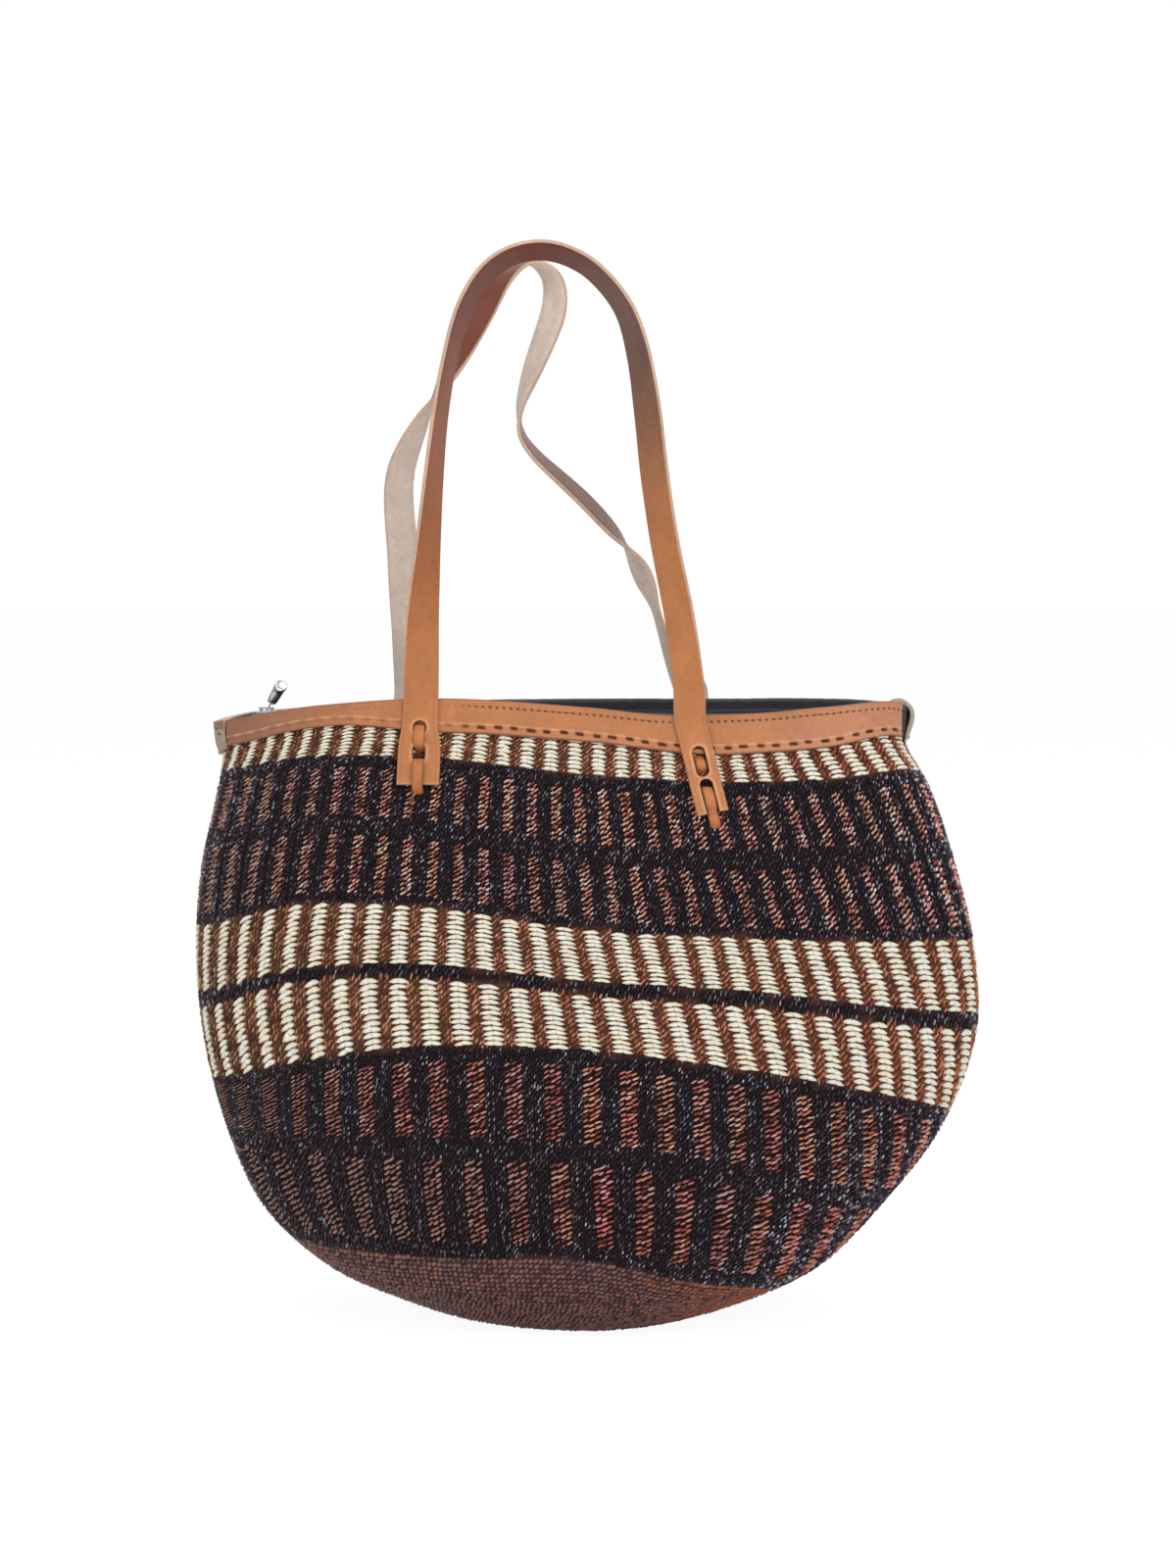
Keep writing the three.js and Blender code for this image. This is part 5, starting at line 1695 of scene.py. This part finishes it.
def stadium_cutter(strap, low, high):
    """A slot-shaped cutter through a strap end between two heights."""
    centre, across, along, out, reach = slot_frame(strap, low, high)
    turn = full_turn(28)
    u = SLOT_HALF * np.cos(turn)[:, None]
    v = SLOT_HALF * np.sin(turn)[:, None]
    outline = centre + across * u + along * (v + np.copysign(reach, v + 1e-9))
    sections = [outline + out * depth for depth in CUTTER_DEPTHS]
    return tube("cutter", sections, leather, HOLE_SHADE, nap=1.0)


def from_slots(strap, points):
    """How far outside the nearest slot's edge each point lies."""
    nearest = np.full(points.shape[:-1], 99.0)
    for low, high in strap["slots"]:
        centre, across, along, _, reach = slot_frame(strap, low, high)
        u = (points - centre) @ across
        v = np.abs((points - centre) @ along)
        nearest = np.minimum(nearest, np.hypot(u, np.maximum(v - reach, 0)) - SLOT_HALF)
    return nearest


def cut_slots(made, cutters):
    for cutter in cutters:
        cut = made.modifiers.new("slot", "BOOLEAN")
        cut.operation = "DIFFERENCE"
        cut.solver = "EXACT"
        cut.object = cutter
    apply_modifiers(made)
    for cutter in cutters:
        bpy.data.objects.remove(cutter)


def darken_slots(made, ends):
    """The slots' walls are painted dark, as the shade inside the slots."""
    points = places_of(made.data)
    cut = np.min([from_slots(end, points) for end in ends], 0) < 0.06
    slot_shade = {
        "Tone": ("color", (*HOLE_SHADE * 1.6, 1)),
        "Nap": ("value", (0.4,)),
        "Rest": ("vector", points[cut]),
    }
    for name, (field, value) in slot_shade.items():
        layer = made.data.attributes[name]
        stored = np.zeros(len(points) * np.shape(value)[-1])
        layer.data.foreach_get(field, stored)
        stored = stored.reshape(len(points), -1)
        stored[cut] = value
        layer.data.foreach_set(field, stored.ravel())


def strap(name, knots, grain_colours, left, right, body, nodes):
    """A whole carrying strap: two laced ends and the loop between them, in one piece."""
    ends = STRAP_ENDS[left], STRAP_ENDS[right]
    parts = [strap_end_path(ends[0]), loop_path(knots), strap_end_path(ends[1])]
    parts[2] = tuple(values[::-1] for values in parts[2])
    points, facings = (np.concatenate(values) for values in zip(*parts))
    arc, points, facings = resample(points, (facings,))
    points = smoothed(points, 6)
    facings = smoothed(facings, 8)
    along = unit(np.gradient(points, axis=0))
    out = unit(facings - along * np.sum(facings * along, -1, keepdims=True))
    across = np.cross(along, out)
    wander = 0.25 * np.sin(arc / 13.0) + 0.18 * np.sin(arc / 5.1 + 1)
    sections = []
    for i, width in enumerate(strap_widths(arc, ends)):
        outline = strap_outline(width + 0.3 * wander[i])
        sections.append(points[i] + across[i] * outline[:, :1] + out[i] * outline[:, 1:])
    sections = np.array(sections)
    tone, nap = strap_tones(arc, sections.shape[1], grain_colours)
    rim = np.min([from_slots(end, sections) for end in ends], 0)
    near = (arc < END_REACH) | (arc > arc[-1] - END_REACH)
    lip = bell(rim, 0.9, 0.6) * near[:, None] * (nap < 0.5)
    sections = sections + out[:, None] * (SLOT_LIP * lip)[..., None]
    # The lips round the slots take a painted highlight.
    tone = towards(tone, LIP_HIGHLIGHT, 0.45 * lip[..., None])
    made = tube(name, sections, leather, tone, nap=nap)
    cut_slots(made, [stadium_cutter(end, *slot) for end in ends for slot in end["slots"]])
    darken_slots(made, ends)
    flex = ends[0]["flex"]
    y = ends[0]["side"] * LOOP_DEPTH
    bends(made, ("root", body), (0, y, flex - 3), (0, y, flex + 26), "leather", *nodes)


def lace(name, strap_facts, node):
    route = strap_facts["route"]
    place = np.linspace(0, len(route) - 1, (len(route) - 1) * 5 + 1)
    height, offset = curves(route, place)
    points = strap_skin(strap_facts, height, offset)
    along = unit(np.gradient(points, axis=0))
    end = strap_facts["end"]
    across = unit(np.cross(outward(strap_angle(strap_facts, end), row_at(end)), (0, 0, 1)))
    out = unit(np.cross(along, across))
    turn = full_turn(14)
    u = np.sign(np.cos(turn)) * np.abs(np.cos(turn)) ** 0.7 * LACE_WIDTH / 2 * 0.96
    v = np.sign(np.sin(turn)) * np.abs(np.sin(turn)) ** 0.8 * LACE_THICKNESS / 2
    sections = points[:, None] + across * u[:, None] + out[:, None] * v[:, None]
    edge = np.abs(np.cos(turn)) ** 4
    tone = np.broadcast_to(LACE_TAN * (1 - 0.5 * edge[:, None]), sections.shape)
    made = tube(name, sections, leather, tone, nap=0.1)
    belongs(made, "root", "leather", node)


# Floor, backdrop and lights

def floor_nodes(tree, surface):
    """The floor looks white by itself and keeps a part of the bag's shadow."""
    pale = add_node(tree, "ShaderNodeEmission", {"Color": (1, 1, 1, 1), "Strength": 1.08}).outputs[0]
    share = math_node(tree, "MULTIPLY", seen_directly(tree), 0.87)
    mix = add_node(tree, "ShaderNodeMixShader", {0: share, 1: surface.outputs[0], 2: pale}).outputs[0]
    connect(tree, tree.nodes["Material Output"].inputs["Surface"], mix)
    place = add_node(tree, "ShaderNodeTexCoord").outputs["Object"]
    tone = brighten(tree, (0.93, 0.93, 0.93, 1), ramp(tree, noise(tree, place, 3.0), 0.99, 1.01))
    paint(tree, surface, Base_Color=tone)


def make_floor():
    pale = make_material("pale_floor", floor_nodes, Roughness=1.0, Specular_IOR_Level=0.0)
    half = 6000
    points = [(-half, -half, 0), (half, -half, 0), (half, half, 0), (-half, half, 0)]
    floor = piece("floor", points, [np.array([[0, 1, 2, 3]])], pale, (0.9, 0.9, 0.9))


def area_light(name, place, aim, size, power):
    lamp = bpy.data.lights.new(name, "AREA")
    lamp.shape = "RECTANGLE"
    lamp.size, lamp.size_y = size
    lamp.energy = power
    made = bpy.data.objects.new(name, lamp)
    made.location = place
    way = Vector(aim) - Vector(place)
    made.rotation_euler = way.to_track_quat("-Z", "Y").to_euler()
    bpy.context.scene.collection.objects.link(made)


def make_light():
    world = bpy.data.worlds.new("studio")
    bpy.context.scene.world = world
    world.use_nodes = True
    tree = world.node_tree
    tree.nodes.clear()
    lit = add_node(tree, "ShaderNodeBackground", {"Color": (1, 1, 1, 1), "Strength": 0.42}).outputs[0]
    white = add_node(tree, "ShaderNodeBackground", {"Color": (1, 1, 1, 1), "Strength": 1.0}).outputs[0]
    inputs = {0: seen_directly(tree), 1: lit, 2: white}
    mix = add_node(tree, "ShaderNodeMixShader", inputs).outputs[0]
    add_node(tree, "ShaderNodeOutputWorld", {"Surface": mix})
    area_light("key", (0.7, -1.5, 1.35), (0, 0, 0.22), (1.1, 1.1), 18)
    area_light("fill", (-1.3, -1.1, 0.8), (0, 0, 0.2), (1.2, 1.2), 7)
    area_light("top", (0, 0.4, 1.9), (0, 0, 0.2), (1.6, 1.0), 12)


make_camera()
make_floor()
make_light()
wall_core()
weave_wall()
rim_band()
facing()
lining()
corner_tape("corner_tape_left", 180, -1, 10, "corner_tab_left")
corner_tape("corner_tape_right", 0, 1, 15.4, "corner_tab_right")
zip_panels()
zip_ends()
zip_chain()
zip_slider()
zip_pull()
strap("carrying_strap_front", FRONT_KNOTS, FRONT_GRAIN, "front_left", "front_right", "front_handle",
      ("front_strap_loop", "strap_end_front_left", "strap_end_front_right"))
strap("carrying_strap_rear", REAR_KNOTS, REAR_GRAIN, "rear_left", "rear_right", "rear_handle",
      ("rear_strap_loop", "strap_end_rear_left", "strap_end_rear_right"))
for end_name, facts in STRAP_ENDS.items():
    lace(f"leather_lace_{end_name}", facts, f"lace_{end_name}")

bpy.context.scene.view_settings.view_transform = "Standard"
